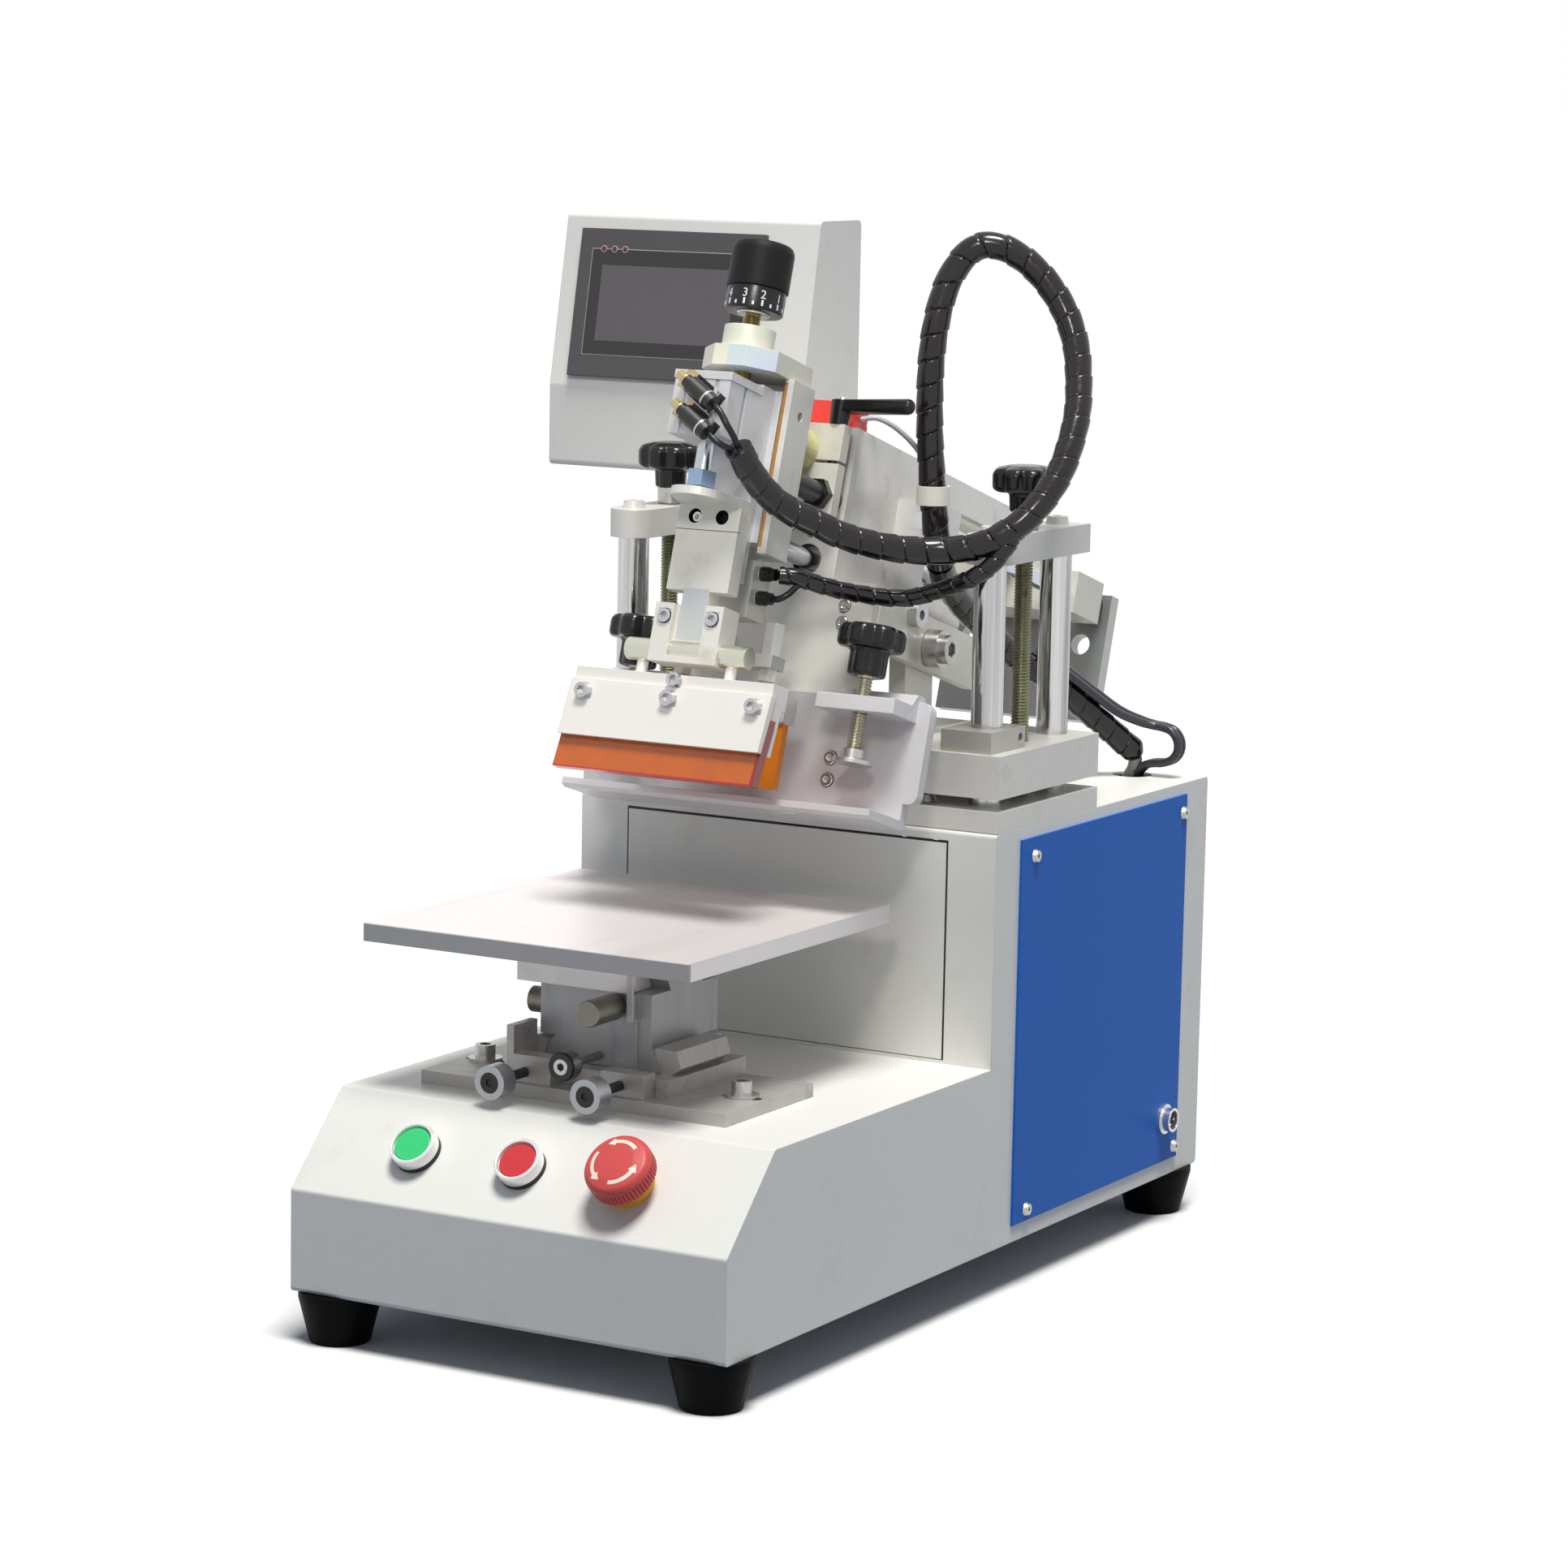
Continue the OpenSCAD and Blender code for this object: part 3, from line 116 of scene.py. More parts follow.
def finish(name, colour, metal=0.0, rough=0.4, spread=0.03, patch=40.0, grain=0.0,
           grain_mm=1.0, stretch=(1, 1, 1), edge=0.5, wear=0.0, worn="#c9c9c6", coat=0.0,
           stain=None, stain_mm=30.0, shine=0.5, inlays=()):
    """A surface finish: a colour that drifts over patches, a fine grain as bump and as
    uneven gloss, rounded edges of the stated width in mm, and worn edges where asked.
    Each inlay (place, low corner, high corner, colour, metal, rough) is a box in mm within
    which another piece of the same casting or assembly shows its own colour and gloss."""
    m = bpy.data.materials.new(name)
    m.use_nodes = True
    shader = m.node_tree.nodes["Principled BSDF"]
    link = m.node_tree.links.new
    colours = {"data_type": "RGBA"}
    place = wire(m, "TexCoord").outputs["Object"]
    lined = wire(m, "Mapping", Vector=place, Scale=stretch).outputs["Vector"]
    drift = wire(m, "TexNoise", Vector=lined, Scale=1000 / patch, Detail=4.0, Roughness=0.6).outputs
    base = np.array(linear(colour)[:3])
    dark = (*np.clip(base * (1 - 2 * spread), 0, 1), 1)
    pale = (*np.clip(base * (1 + 2 * spread), 0, 1), 1)
    tone = wire(m, "Mix", colours, i0=drift["Fac"], i6=dark, i7=pale).outputs[2]
    if stain:
        spots = wire(m, "TexNoise", Vector=lined, Scale=1000 / stain_mm, Detail=5.0, Roughness=0.7)
        amount = wire(m, "MapRange", Value=spots.outputs["Fac"], From_Min=0.56, From_Max=0.76,
                      To_Max=0.7).outputs[0]
        tone = wire(m, "Mix", colours, i0=amount, i6=tone, i7=linear(stain)).outputs[2]
    fine = wire(m, "TexNoise", Vector=lined, Scale=1000 / grain_mm, Detail=3.0, Roughness=0.55)
    corner = wire(m, "Bevel", {"samples": 4}, Radius=edge / 1000)
    if wear:
        facing = wire(m, "VectorMath", {"operation": "DOT_PRODUCT"}, i0=corner.outputs[0],
                      i1=wire(m, "NewGeometry").outputs["Normal"])
        rub = wire(m, "MapRange", Value=facing.outputs["Value"], From_Min=0.995, From_Max=0.9,
                   To_Max=wear).outputs[0]
        patchy = wire(m, "Math", {"operation": "MULTIPLY"}, i0=rub, i1=drift["Fac"]).outputs[0]
        tone = wire(m, "Mix", colours, i0=patchy, i6=tone, i7=linear(worn)).outputs[2]
    gloss = wire(m, "MapRange", Value=fine.outputs["Fac"], From_Min=0.3, From_Max=0.7,
                 To_Min=max(rough - 0.06, 0.02), To_Max=rough + 0.06).outputs[0]
    shader.inputs["Metallic"].default_value = metal
    metallic = metal
    for origin, low, high, other, other_metal, other_rough in inlays:
        turn = (Matrix.Scale(0.001, 4) @ origin).inverted()
        local = wire(m, "Mapping", Vector=place, Location=turn.to_translation(),
                     Rotation=turn.to_euler(), Scale=(1000, 1000, 1000)).outputs["Vector"]
        middle, half = tuple((np.array(low) + high) / 2), tuple((np.array(high) - low) / 2)
        apart = wire(m, "VectorMath", {"operation": "SUBTRACT"}, i0=local, i1=middle).outputs[0]
        apart = wire(m, "VectorMath", {"operation": "ABSOLUTE"}, i0=apart).outputs[0]
        apart = wire(m, "VectorMath", {"operation": "SUBTRACT"}, i0=apart, i1=half).outputs[0]
        axes = wire(m, "SeparateXYZ", Vector=apart).outputs
        far = wire(m, "Math", {"operation": "MAXIMUM"}, i0=axes[0], i1=axes[1]).outputs[0]
        far = wire(m, "Math", {"operation": "MAXIMUM"}, i0=far, i1=axes[2]).outputs[0]
        inside = wire(m, "Math", {"operation": "LESS_THAN"}, i0=far, i1=0.0).outputs[0]
        shaded = wire(m, "Mix", {**colours, "blend_type": "MULTIPLY"}, i0=0.25, i6=linear(other),
                      i7=drift["Color"]).outputs[2]
        tone = wire(m, "Mix", colours, i0=inside, i6=tone, i7=shaded).outputs[2]
        gloss = wire(m, "Mix", i0=inside, i2=gloss, i3=other_rough).outputs[0]
        metallic = wire(m, "Mix", i0=inside, i2=metallic, i3=other_metal).outputs[0]
        link(metallic, shader.inputs["Metallic"])
    link(tone, shader.inputs["Base Color"])
    link(gloss, shader.inputs["Roughness"])
    bump = wire(m, "Bump", Strength=grain, Distance=0.0002, Height=fine.outputs["Fac"],
                Normal=corner.outputs[0])
    link(bump.outputs[0], shader.inputs["Normal"])
    shader.inputs["Specular IOR Level"].default_value = shine
    shader.inputs["Coat Weight"].default_value = coat
    shader.inputs["Coat Roughness"].default_value = 0.12
    return m


def quads(rows, columns):
    """The corner numbers of the squares of a grid whose columns close into a ring."""
    i, j = np.meshgrid(np.arange(rows - 1), np.arange(columns), indexing="ij")
    k = (j + 1) % columns
    row, after = i * columns, (i + 1) * columns
    return np.stack([row + j, row + k, after + k, after + j], -1).reshape(-1, 4)


def surface(name, points, faces, material, angle=32):
    """A mesh object from an array of points in metres and an array of corner numbers; it is
    shaded smooth, except where two faces meet at more than the angle in degrees."""
    mesh = bpy.data.meshes.new(name)
    mesh.from_pydata(np.asarray(points).tolist(), [], [list(f) for f in faces])
    work = bmesh.new()
    work.from_mesh(mesh)
    bmesh.ops.remove_doubles(work, verts=work.verts, dist=1e-6)
    bmesh.ops.recalc_face_normals(work, faces=work.faces)
    work.to_mesh(mesh)
    work.free()
    mesh.polygons.foreach_set("use_smooth", np.ones(len(mesh.polygons), bool))
    mesh.set_sharp_from_angle(angle=math.radians(angle))
    mesh.materials.append(material)
    thing = bpy.data.objects.new(name, mesh)
    bpy.context.scene.collection.objects.link(thing)
    return thing


def smooth_path(route, step):
    """A curve through the route's points: the cubic whose slope at each point is half the step
    between its neighbours, read off at even distances of about one step."""
    p = np.asarray(route, float)
    q = np.vstack([2 * p[0] - p[1], p, 2 * p[-1] - p[-2]])
    t = np.linspace(0, 1, 40, endpoint=False)[:, None, None]
    a, b, c, d = q[:-3], q[1:-2], q[2:-1], q[3:]
    bend, twist = 2 * a - 5 * b + 4 * c - d, 3 * b - a - 3 * c + d
    curve = 0.5 * (2 * b + (c - a) * t + bend * t**2 + twist * t**3)
    curve = np.vstack([curve.transpose(1, 0, 2).reshape(-1, 3), p[-1]])
    along = np.concatenate([[0], np.cumsum(np.linalg.norm(np.diff(curve, axis=0), axis=1))])
    even = np.linspace(0, along[-1], max(4, int(along[-1] / step) + 1))
    return np.stack([np.interp(even, along, curve[:, k]) for k in range(3)], 1), even


def rings(path):
    """Two unit directions square to the path at each point, carried along it without twisting."""
    ahead = np.gradient(path, axis=0)
    ahead /= np.linalg.norm(ahead, axis=1)[:, None]
    no_hose_runs_this_way = np.array([0.31, 0.2, 0.93])
    side = np.cross(ahead, no_hose_runs_this_way)
    side /= np.linalg.norm(side, axis=1)[:, None]
    return side, np.cross(ahead, side)


def tube_wall(path, side, over, radius, around):
    """The ring of points round each point of the path: the radius times the cosine of the angle
    along one of the two square directions, plus the radius times its sine along the other."""
    ring = np.cos(around)[:, None] * side[:, None] + np.sin(around)[:, None] * over[:, None]
    return (path[:, None] + radius[..., None] * ring).reshape(-1, 3)


def wrapped_hose(name, route, diameter, ribbon, phase=0.0, nose=0.1):
    """A tube whose radius climbs by a few tenths over each turn of the ribbon and drops at the
    seam; the seam runs round as a helix with one turn per ribbon width. Both ends are closed,
    and the far one draws in over the length of the nose."""
    climb, seam_depth, seam_width = 0.85, 1.1, 0.03
    path, along = smooth_path(route, 0.75)
    around = np.linspace(0, 2 * np.pi, 56, endpoint=False)
    turn = (along[:, None] / ribbon - around[None, :] / (2 * np.pi) + phase) % 1.0
    slack = 0.35 * np.sin(along / ribbon * 2.1)[:, None] * np.cos(around - 0.8)[None, :]
    radius = diameter / 2 - 0.55 + climb * turn**0.7 + 0.12 * slack
    radius = radius - seam_depth * np.exp(-(((turn - 0.5) % 1.0 - 0.5) / seam_width) ** 2)
    ends = np.clip(along / 0.1, 0, 1) * np.clip((along[-1] - along) / nose, 0, 1) ** 0.4
    points = tube_wall(path, *rings(path), radius * ends[:, None], around)
    faces = quads(len(path), len(around))
    hose = surface(name, in_metres(points), faces, spiral_wrap, angle=48)
    return hose


def plain_tube(name, route, diameter, material):
    """A round tube of constant radius along the smoothed route; its first and last ring are
    repeated with no radius, which closes the ends."""
    path, _ = smooth_path(route, max(0.8, diameter / 3))
    side, over = rings(path)
    closed = [0, *range(len(path)), -1]
    radius = np.full((len(closed), 1), diameter / 2)
    radius[[0, -1]] = 0
    around = np.linspace(0, 2 * np.pi, 20, endpoint=False)
    points = tube_wall(path[closed], side[closed], over[closed], radius, around)
    tube = surface(name, in_metres(points), quads(len(closed), len(around)), material)
    return tube


spiral_wrap = finish("glossy_spiral_wrap", "#1a1319", rough=0.17, spread=0.2, patch=14,
                     grain=0.15, grain_mm=2.5, edge=0.15, shine=0.45)
soft_tube = dict(spread=0.1, grain=0.1, grain_mm=3, edge=0.1)
tube_black = finish("black_air_tube", "#17151a", rough=0.22, shine=0.3, **soft_tube)
tube_grey = finish("dark_grey_air_tube", "#36373f", rough=0.2, shine=0.4, **soft_tube)
# diameters of the hoses and tubes, and how far the ribbon moves on in a turn
BUNDLE, RIBBON = 17, 15
THIN_BUNDLE, THIN_RIBBON = 11, 11
FEED, AIR, ROOF, CABLE = 4, 5.6, 9, 3.4

head_route = [
    [180, 199, 500], [182, 207, 488], [185, 216, 477], [190, 226, 467], [197, 237, 459],
    [205, 248, 453], [214, 260, 446], [225, 275, 440], [237, 290, 436], [251, 306, 434],
    [266, 315, 435], [280, 318, 438], [291.4, 323.2, 443.3], [297.3, 327.4, 448],
]
head_bundle = wrapped_hose("head_hose_bundle", head_route, BUNDLE, RIBBON)
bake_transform(head_bundle)
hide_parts("head_hoses")

branch_route = [
    [176.2, 256.4, 418], [185, 262, 417], [194, 271, 413], [204, 282, 409], [214, 293, 406],
    [225, 303, 404], [238, 312, 404], [251, 316, 408], [265, 317, 413], [279, 315, 419],
    [289, 318, 426], [295, 323, 435], [299.5, 327.5, 444],
]
branch_bundle = wrapped_hose("flood_hose_bundle", branch_route, THIN_BUNDLE, THIN_RIBBON, 0.4)
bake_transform(branch_bundle)
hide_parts("head_hoses")

loop_route = [
    [291.4, 323.2, 443.3], [303, 332, 453], [311, 343, 466], [315, 357, 482], [315, 371, 500],
    [312, 385, 519], [306, 397, 538], [299, 406, 557], [289, 411, 576], [276, 411, 594],
    [261, 408, 608], [246, 402, 616], [233, 396, 615], [223, 391, 604], [217, 386, 588],
    [214, 381, 567], [213, 378, 545], [213, 377, 520], [214, 377, 495], [216, 378, 465],
    [217, 380, 447], [216, 386, 430], [213, 396, 417],
]
loop_bundle = wrapped_hose("hose_loop", loop_route, BUNDLE, RIBBON, 0.3)
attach(loop_bundle, "arm")
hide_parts("cable_bundle")

tail_route = [
    [213, 396, 417], [208, 411, 406], [204, 430, 395.5], [202.5, 452, 382], [203, 480, 366.5],
    [206, 503, 352], [208.5, 509.5, 347.6],
]
tail_bundle = wrapped_hose("hose_over_the_pivot", tail_route, BUNDLE, RIBBON, 0.1)
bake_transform(tail_bundle)
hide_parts("cable_bundle")

rear_route = [
    [208.5, 509.5, 347.6], [213, 519, 341], [224, 541, 326], [234, 560, 310.5], [244, 577, 295.5],
    [252, 588, 284.5], [260.5, 596, 275],
]
rear_bundle = wrapped_hose("hose_to_the_roof", rear_route, BUNDLE, RIBBON, 0.7, nose=7)
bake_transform(rear_bundle)
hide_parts("rear_hoses")

# two dark grey air tubes lie on the bundle, turn once round and enter the roof
grey_route = [
    [221, 521, 349], [232.4, 542.5, 334], [242.4, 561.5, 319.5], [252.4, 578.5, 306.5],
    [262.5, 590.5, 299.6], [270, 595.5, 297], [276.7, 597, 296], [283.6, 597, 293.8],
    [288, 597, 288.1], [288.3, 597, 280.9], [284.4, 597, 275.1], [277.7, 597, 272.3],
    [270, 597, 271.4], [263.8, 597, 269.2], [259.2, 597, 264.6], [257, 597, 258.5],
]
turning = np.clip(np.arange(len(grey_route)) / 5, 0, 1)
across = np.outer(1 - turning, (0.58, -0.66, -0.48)) + np.outer(turning, (0, -1, 0))
across /= np.linalg.norm(across, axis=1)[:, None]
for name, side in (("near_air_tube", 2.85), ("far_air_tube", -2.85)):
    tube = plain_tube(name, np.array(grey_route) + side * across, AIR, tube_grey)
    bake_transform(tube)
    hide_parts("rear_hoses")

# the bundle's own hose goes on from the end of the wrap through the roof
roof_grey = finish("pale_grey_hose", "#85847f", rough=0.3, spread=0.08, grain=0.1, grain_mm=3,
                   edge=0.1)
roof_hose = plain_tube("hose_through_the_roof", [
    [236, 564, 307.5], [244, 577, 295.5], [251.5, 587.5, 285.5], [257, 593.5, 277.5],
    [257, 595, 269], [253.5, 594, 261], [250.5, 592.5, 253.5],
], ROOF, roof_grey)
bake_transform(roof_hose)
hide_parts("rear_hoses")

# thin tubes between the push-in fittings and the wrap
for name, route in (
    ("upper_feed_tube", [[164.6, 196.4, 523.8], [169.5, 195.3, 520.2], [175, 194.3, 513],
                         [179, 196.5, 505], [182, 205, 490]]),
    ("lower_feed_tube", [[163.9, 191.4, 507.1], [168.5, 190.6, 504], [173.5, 192.5, 500.5],
                         [178, 199, 496], [183, 209, 484]]),
):
    tube = plain_tube(name, route, FEED, tube_black)
    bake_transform(tube)
    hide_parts("head_hoses")
flood_feed = plain_tube("flood_feed_tube", [
    [174.6, 251.8, 403.6], [180, 252.6, 404.2], [184.5, 256, 407.5], [188, 262, 412.5],
    [193, 270, 413.3],
], FEED, tube_black)
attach(flood_feed, "carriage")
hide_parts("head_hoses")

cable_grey = finish("grey_cable_sheath", "#b9b9bd", rough=0.4, spread=0.05, grain=0.1,
                    grain_mm=2, edge=0.1)
sensor_cable = plain_tube("sensor_cable", [
    [175.5, 356.6, 507.3], [184, 361, 508.4], [192, 366, 504.5], [199, 371, 498],
    [204.5, 375, 491], [210, 377, 483],
], CABLE, cable_grey)
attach(sensor_cable, "arm")
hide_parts("cable_bundle")

# ---------------------------------------------------------------- cabinet
# Bent steel sheet with a warm white powder coat: sloping control panel, deck
# and tall box. The white front panel is let in, with the shadow of the gap at its
# top and sides painted on its edges as dark strips, and the blue side panel is
# sprayed separately and screwed on.


def dress(material, *names):
    """Puts the finish into every material slot of the named CAD nodes."""
    for name in names:
        for place in nodes[name].material_slots:
            place.material = material


def at(place, point, *turns):
    """The place matrix moved to a point in mm and then turned by each (degrees, axis) in order."""
    m = place @ Matrix.Translation(point)
    for degrees, axis in turns:
        m = m @ Matrix.Rotation(math.radians(degrees), 4, axis)
    return m


white_coat = dict(rough=0.42, spread=0.012, patch=120, grain=0.22, grain_mm=0.7, edge=0.9,
                  wear=0.25, worn="#bdbab2", stain="#dedbd2", stain_mm=60)
dress(finish("white_powder_coat", "#ebeae5", **white_coat), "cabinet_shell", "console_box")
painted_gap_shade = ("#2a2927", 0.0, 0.6)
# the dark strips along the panel's top and sides are painted shadow of the gap round it
dress(finish("white_panel_coat", "#ebeae5", **white_coat, inlays=[
    (CABINET, (30, 100, 254), (270, 400, 256), "#131211", 0.0, 0.6),
    (CABINET, (265.3, 100, 118), (267, 400, 256), *painted_gap_shade),
    (CABINET, (34, 100, 118), (35.4, 400, 256), *painted_gap_shade)]), "front_access_panel")
dress(finish("blue_powder_coat", "#1d69c8", rough=0.5, spread=0.02, patch=80, grain=0.25,
             grain_mm=0.8, wear=0.2, worn="#7c9ad6", shine=0.15), "right_side_panel")
dress(finish("zinc_plated_sheet", "#c4c7c8", metal=0.7, spread=0.08, patch=12, grain=0.2,
             grain_mm=1.5), "power_and_valve_units")
bright_steel = finish("bright_zinc_screws", "#b9b8b6", metal=0.85, rough=0.26, spread=0.05,
                      patch=6, grain=0.25, grain_mm=0.4, edge=0.25)
dress(bright_steel, "machine_screws")
dress(finish("moulded_rubber", "#060709", rough=0.5, spread=0.12, patch=9, grain=0.5,
             grain_mm=0.5, edge=0.8, wear=0.4, worn="#141618", shine=0.06), "rubber_feet")

# ---------------------------------------------------------------- push buttons
# Two 22 mm buttons: a pressed bright bezel on a black rubber gasket, a raised
# rim that is rolled in at the top, and a coloured cap 1.5 mm or so below it.
# The bezel's side is painted a mid grey as shade, and its rolled lip near white
# as painted light.


def eased(profile, radius=0.6, steps=5):
    """The profile with each inner corner cut back by the radius and bridged by a parabola whose
    control point is the old corner."""
    p = np.asarray(profile, float)
    before, corner, after = p[:-2], p[1:-1], p[2:]
    way_in, way_out = before - corner, after - corner
    long_in = np.linalg.norm(way_in, axis=1, keepdims=True)
    long_out = np.linalg.norm(way_out, axis=1, keepdims=True)
    first = corner + way_in / long_in * np.minimum(radius, 0.45 * long_in)
    last = corner + way_out / long_out * np.minimum(radius, 0.45 * long_out)
    t = np.linspace(0, 1, steps)[None, :, None]
    curve = (1 - t) ** 2 * first[:, None] + 2 * t * (1 - t) * corner[:, None] + t**2 * last[:, None]
    return np.vstack([p[:1], curve.reshape(-1, 2), p[-1:]])


def turned(name, profile, place, material, steps=72, swell=None):
    """A surface of revolution: (radius, height) pairs carried round the z axis of the place, the
    radius scaled by swell(angle, radius, height) where a form isn't round."""
    p = np.asarray(profile, float)
    around = np.linspace(0, 2 * np.pi, steps, endpoint=False)[None, :]
    radius = p[:, :1] * np.ones_like(around)
    if swell:
        radius = radius * swell(around, p[:, :1], p[:, 1:])
    height = p[:, 1:] * np.ones_like(around)
    points = np.stack([radius * np.cos(around), radius * np.sin(around), height], -1).reshape(-1, 3)
    return surface(name, in_metres(points, place), quads(len(p), steps), material)


def mount(piece, body, slot, *replaced):
    """Fixes the piece to a moving body and hides the nodes it stands for; the slot is not used."""
    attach(piece, body)
    if replaced:
        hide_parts(*replaced)


slope = [at(CABINET, (x, 26.1, 89.0), (45.65, "X")) for x in (73, 146.5, 220)]
gaskets = [(place, (-16, -16, -0.2), (16, 16, 3.4), "#101011", 0.0, 0.5) for place in slope[:2]]
# the bezel's grey side is painted shade; the near-white rolled lip below is painted light
dress(finish("bright_button_bezel", "#a3a3a6", metal=0.35, rough=0.3, spread=0.02, patch=8,
             grain=0.1, grain_mm=0.4, edge=0.3, inlays=gaskets), "button_bezels")
rolled_lip = finish("rolled_bright_lip", "#f3f3f2", metal=0.45, rough=0.2, spread=0.01, patch=8,
                    grain=0.05, edge=0.1)
lip_profile = [(14.4, 3.4), (14.45, 9.6), (14.2, 10.4), (13.5, 10.95), (12.8, 10.9), (12.2, 10.4),
               (12.0, 9.6), (12.0, 8.3), (13.6, 8.2), (14.1, 3.3), (14.4, 3.4)]
for name, place in zip(("start_button_lip", "stop_button_lip"), slope):
    mount(turned(name, lip_profile, place, rolled_lip, steps=96), "cabinet", "nickel")
glossy_plastic = dict(rough=0.3, spread=0.05, patch=10, grain=0.1, coat=0.2)
dress(finish("green_button_plastic", "#25cc76", **glossy_plastic), "start_button_cap")
dress(finish("red_button_plastic", "#cf2429", **glossy_plastic), "stop_button_cap")

# ---------------------------------------------------------------- emergency stop
# Matt red mushroom head with a finely ribbed lower rim over a yellow collar;
# three cream arrows are moulded flush round the crown.


def ribs(count, depth, beyond, below=np.inf):
    """A swell that cuts narrow grooves between the ribs, each a raised cosine of the angle to the
    power 3: the fraction depth of every radius beyond the one given and below the height."""
    def swell(turn, r, h):
        return 1 - depth * (r > beyond) * (h < below) * (0.5 + 0.5 * np.cos(count * turn)) ** 3

    return swell


stop_red = finish("matt_red_plastic", "#d04a49", rough=0.45, patch=18, grain=0.2, grain_mm=0.6,
                  edge=0.3)
stop_profile = eased([(0, -18), (7.9, -18), (7.9, 14.3), (12, 16.2), (17.6, 16.6), (18.2, 10.6),
                      (19.8, 10.2), (20.7, 11.4), (20.7, 19.2), (20.2, 21.6), (18.2, 24),
                      (11.5, 25.6), (0, 26.1)], 1.2, 6)
stop_head = turned("emergency_stop_head", stop_profile, slope[2], stop_red, steps=432,
                   swell=ribs(54, 0.05, 19.6, 19.8))
mount(stop_head, "emergency_stop", "red_plastic", "estop_head")
cream_ink = finish("cream_moulded_arrow", "#f3ead8", rough=0.5, spread=0.02, patch=6, grain=0.1,
                   edge=0.05)
crown = stop_profile[stop_profile[:, 1] > 21.7][::-1]
along, across = np.linspace(0, 1, 33), np.linspace(-1, 1, 7)
half = np.where(along < 0.78, 1.15, 2.7 * (1 - (along - 0.78) / 0.22))[:, None]
for k, (start, sweep) in enumerate(((48, 82), (160, 88), (276, 86))):
    turn = np.radians(start + sweep * along)[:, None]
    radius = 13.9 + half * across[None, :]
    height = np.interp(radius, crown[:, 0], crown[:, 1]) + 0.1
    top = np.stack([radius * np.cos(turn), radius * np.sin(turn), height], -1)
    points = np.concatenate([top, top[:, ::-1] - (0, 0, 0.4)], 1).reshape(-1, 3)
    faces = quads(len(along), 2 * len(across))
    arrow = surface(f"turning_arrow_{k + 1}", in_metres(points, slope[2]), faces, cream_ink)
    mount(arrow, "emergency_stop", "red_plastic")
dress(finish("yellow_plastic", "#f0b323", rough=0.35, spread=0.04, patch=15, grain=0.1),
      "estop_collar")

# ---------------------------------------------------------------- power socket
# Nickel-plated round inlet with a black nylon insert, held by its own flange
# in the lower rear corner of the blue side panel.
dress(finish("satin_nickel", "#d3d4d6", metal=0.9, rough=0.22, patch=8, grain=0.2, grain_mm=0.3,
             edge=0.35), "power_socket")
black_insert = finish("black_nylon_insert", "#121214", rough=0.45, spread=0.05, patch=5,
                      grain=0.2, grain_mm=0.5, edge=0.2)
insert_profile = eased([(0, 4.4), (5.6, 4.4), (6.15, 4.0), (6.15, 2.0), (0, 2.0)], 0.3)
socket_place = at(CABINET, (301.6, 561.6, 40.2), (90, "Y"))
mount(turned("socket_insert", insert_profile, socket_place, black_insert, 48),
      "cabinet", "black_plastic")

# ---------------------------------------------------------------- touch panel
# Charcoal moulded bezel round a black glass face; a fine pale line frames the
# glass and carries three small dark-red lamps. The display itself is off.
PANEL = at(CABINET, (0, 450.3, 518), (-10.44, "X"))
dress(finish("charcoal_panel_plastic", "#4c484b", rough=0.42, spread=0.04, grain=0.25,
             grain_mm=0.8, edge=1.1), "touch_panel")


def pad(name, outline, front, depth, material, place):
    """A thin plate from a closed outline of (x, z) pairs: the outline at the front and at the
    back, each drawn in to its middle so that both faces are closed."""
    rim = np.asarray(outline, float)
    middle = np.broadcast_to(rim.mean(0), rim.shape)
    depths = [front, front, front + depth, front + depth]
    rows = [np.insert(r, 1, d, axis=1) for r, d in zip((middle, rim, rim, middle), depths)]
    points = np.concatenate(rows)
    return surface(name, in_metres(points, place), quads(len(rows), len(rim)), material)


def rounded_box(x0, x1, z0, z1, r):
    """The outline of a rectangle whose four corners are quarter circles of radius r."""
    t = np.linspace(0, np.pi / 2, 6)
    corners = [(x1 - r, z0 + r, -np.pi / 2), (x1 - r, z1 - r, 0),
               (x0 + r, z1 - r, np.pi / 2), (x0 + r, z0 + r, np.pi)]
    return np.concatenate([np.stack([x + r * np.cos(t + a), z + r * np.sin(t + a)], 1)
                           for x, z, a in corners])


pale_line = finish("pale_frame_line", "#b9b4b6", spread=0.02, grain=0.05, edge=0.05)
black_glass = finish("black_face_glass", "#141214", rough=0.12, spread=0.02, grain=0.03,
                     edge=0.1, coat=0.3)
grey_display = finish("dark_display", "#575159", rough=0.22, patch=55, grain=0.03, edge=0.05,
                      coat=0.3)
lamp_red = finish("dark_red_lamp", "#5c1820", rough=0.2, spread=0.02, grain=0.03, edge=0.05)
for name, outline, front, material in (
    ("frame_line", rounded_box(-90.2, 32.2, 13.3, 84.7, 0.6), -4.45, pale_line),
    ("face_glass", rounded_box(-89.7, 31.7, 13.8, 84.2, 0.4), -4.6, black_glass),
    ("display", rounded_box(-81, 22, 23, 73.6, 0.3), -4.7, grey_display),
):
    mount(pad(name, outline, front, 1.2, material, PANEL), "cabinet", "panel_black")
for k in range(3):
    lamp_place = at(PANEL, (-81.1 + 8.3 * k, -4.45, 84.4), (90, "X"))
    for name, profile, material in (
        (f"lamp_ring_{k + 1}", [(0, -0.5), (2.3, -0.5), (2.3, 0.3), (0, 0.3)], pale_line),
        (f"lamp_{k + 1}", [(0, -0.5), (1.7, -0.5), (1.7, 0.42), (0, 0.5)], lamp_red),
    ):
        mount(turned(name, profile, lamp_place, material, 32), "cabinet", "panel_black")

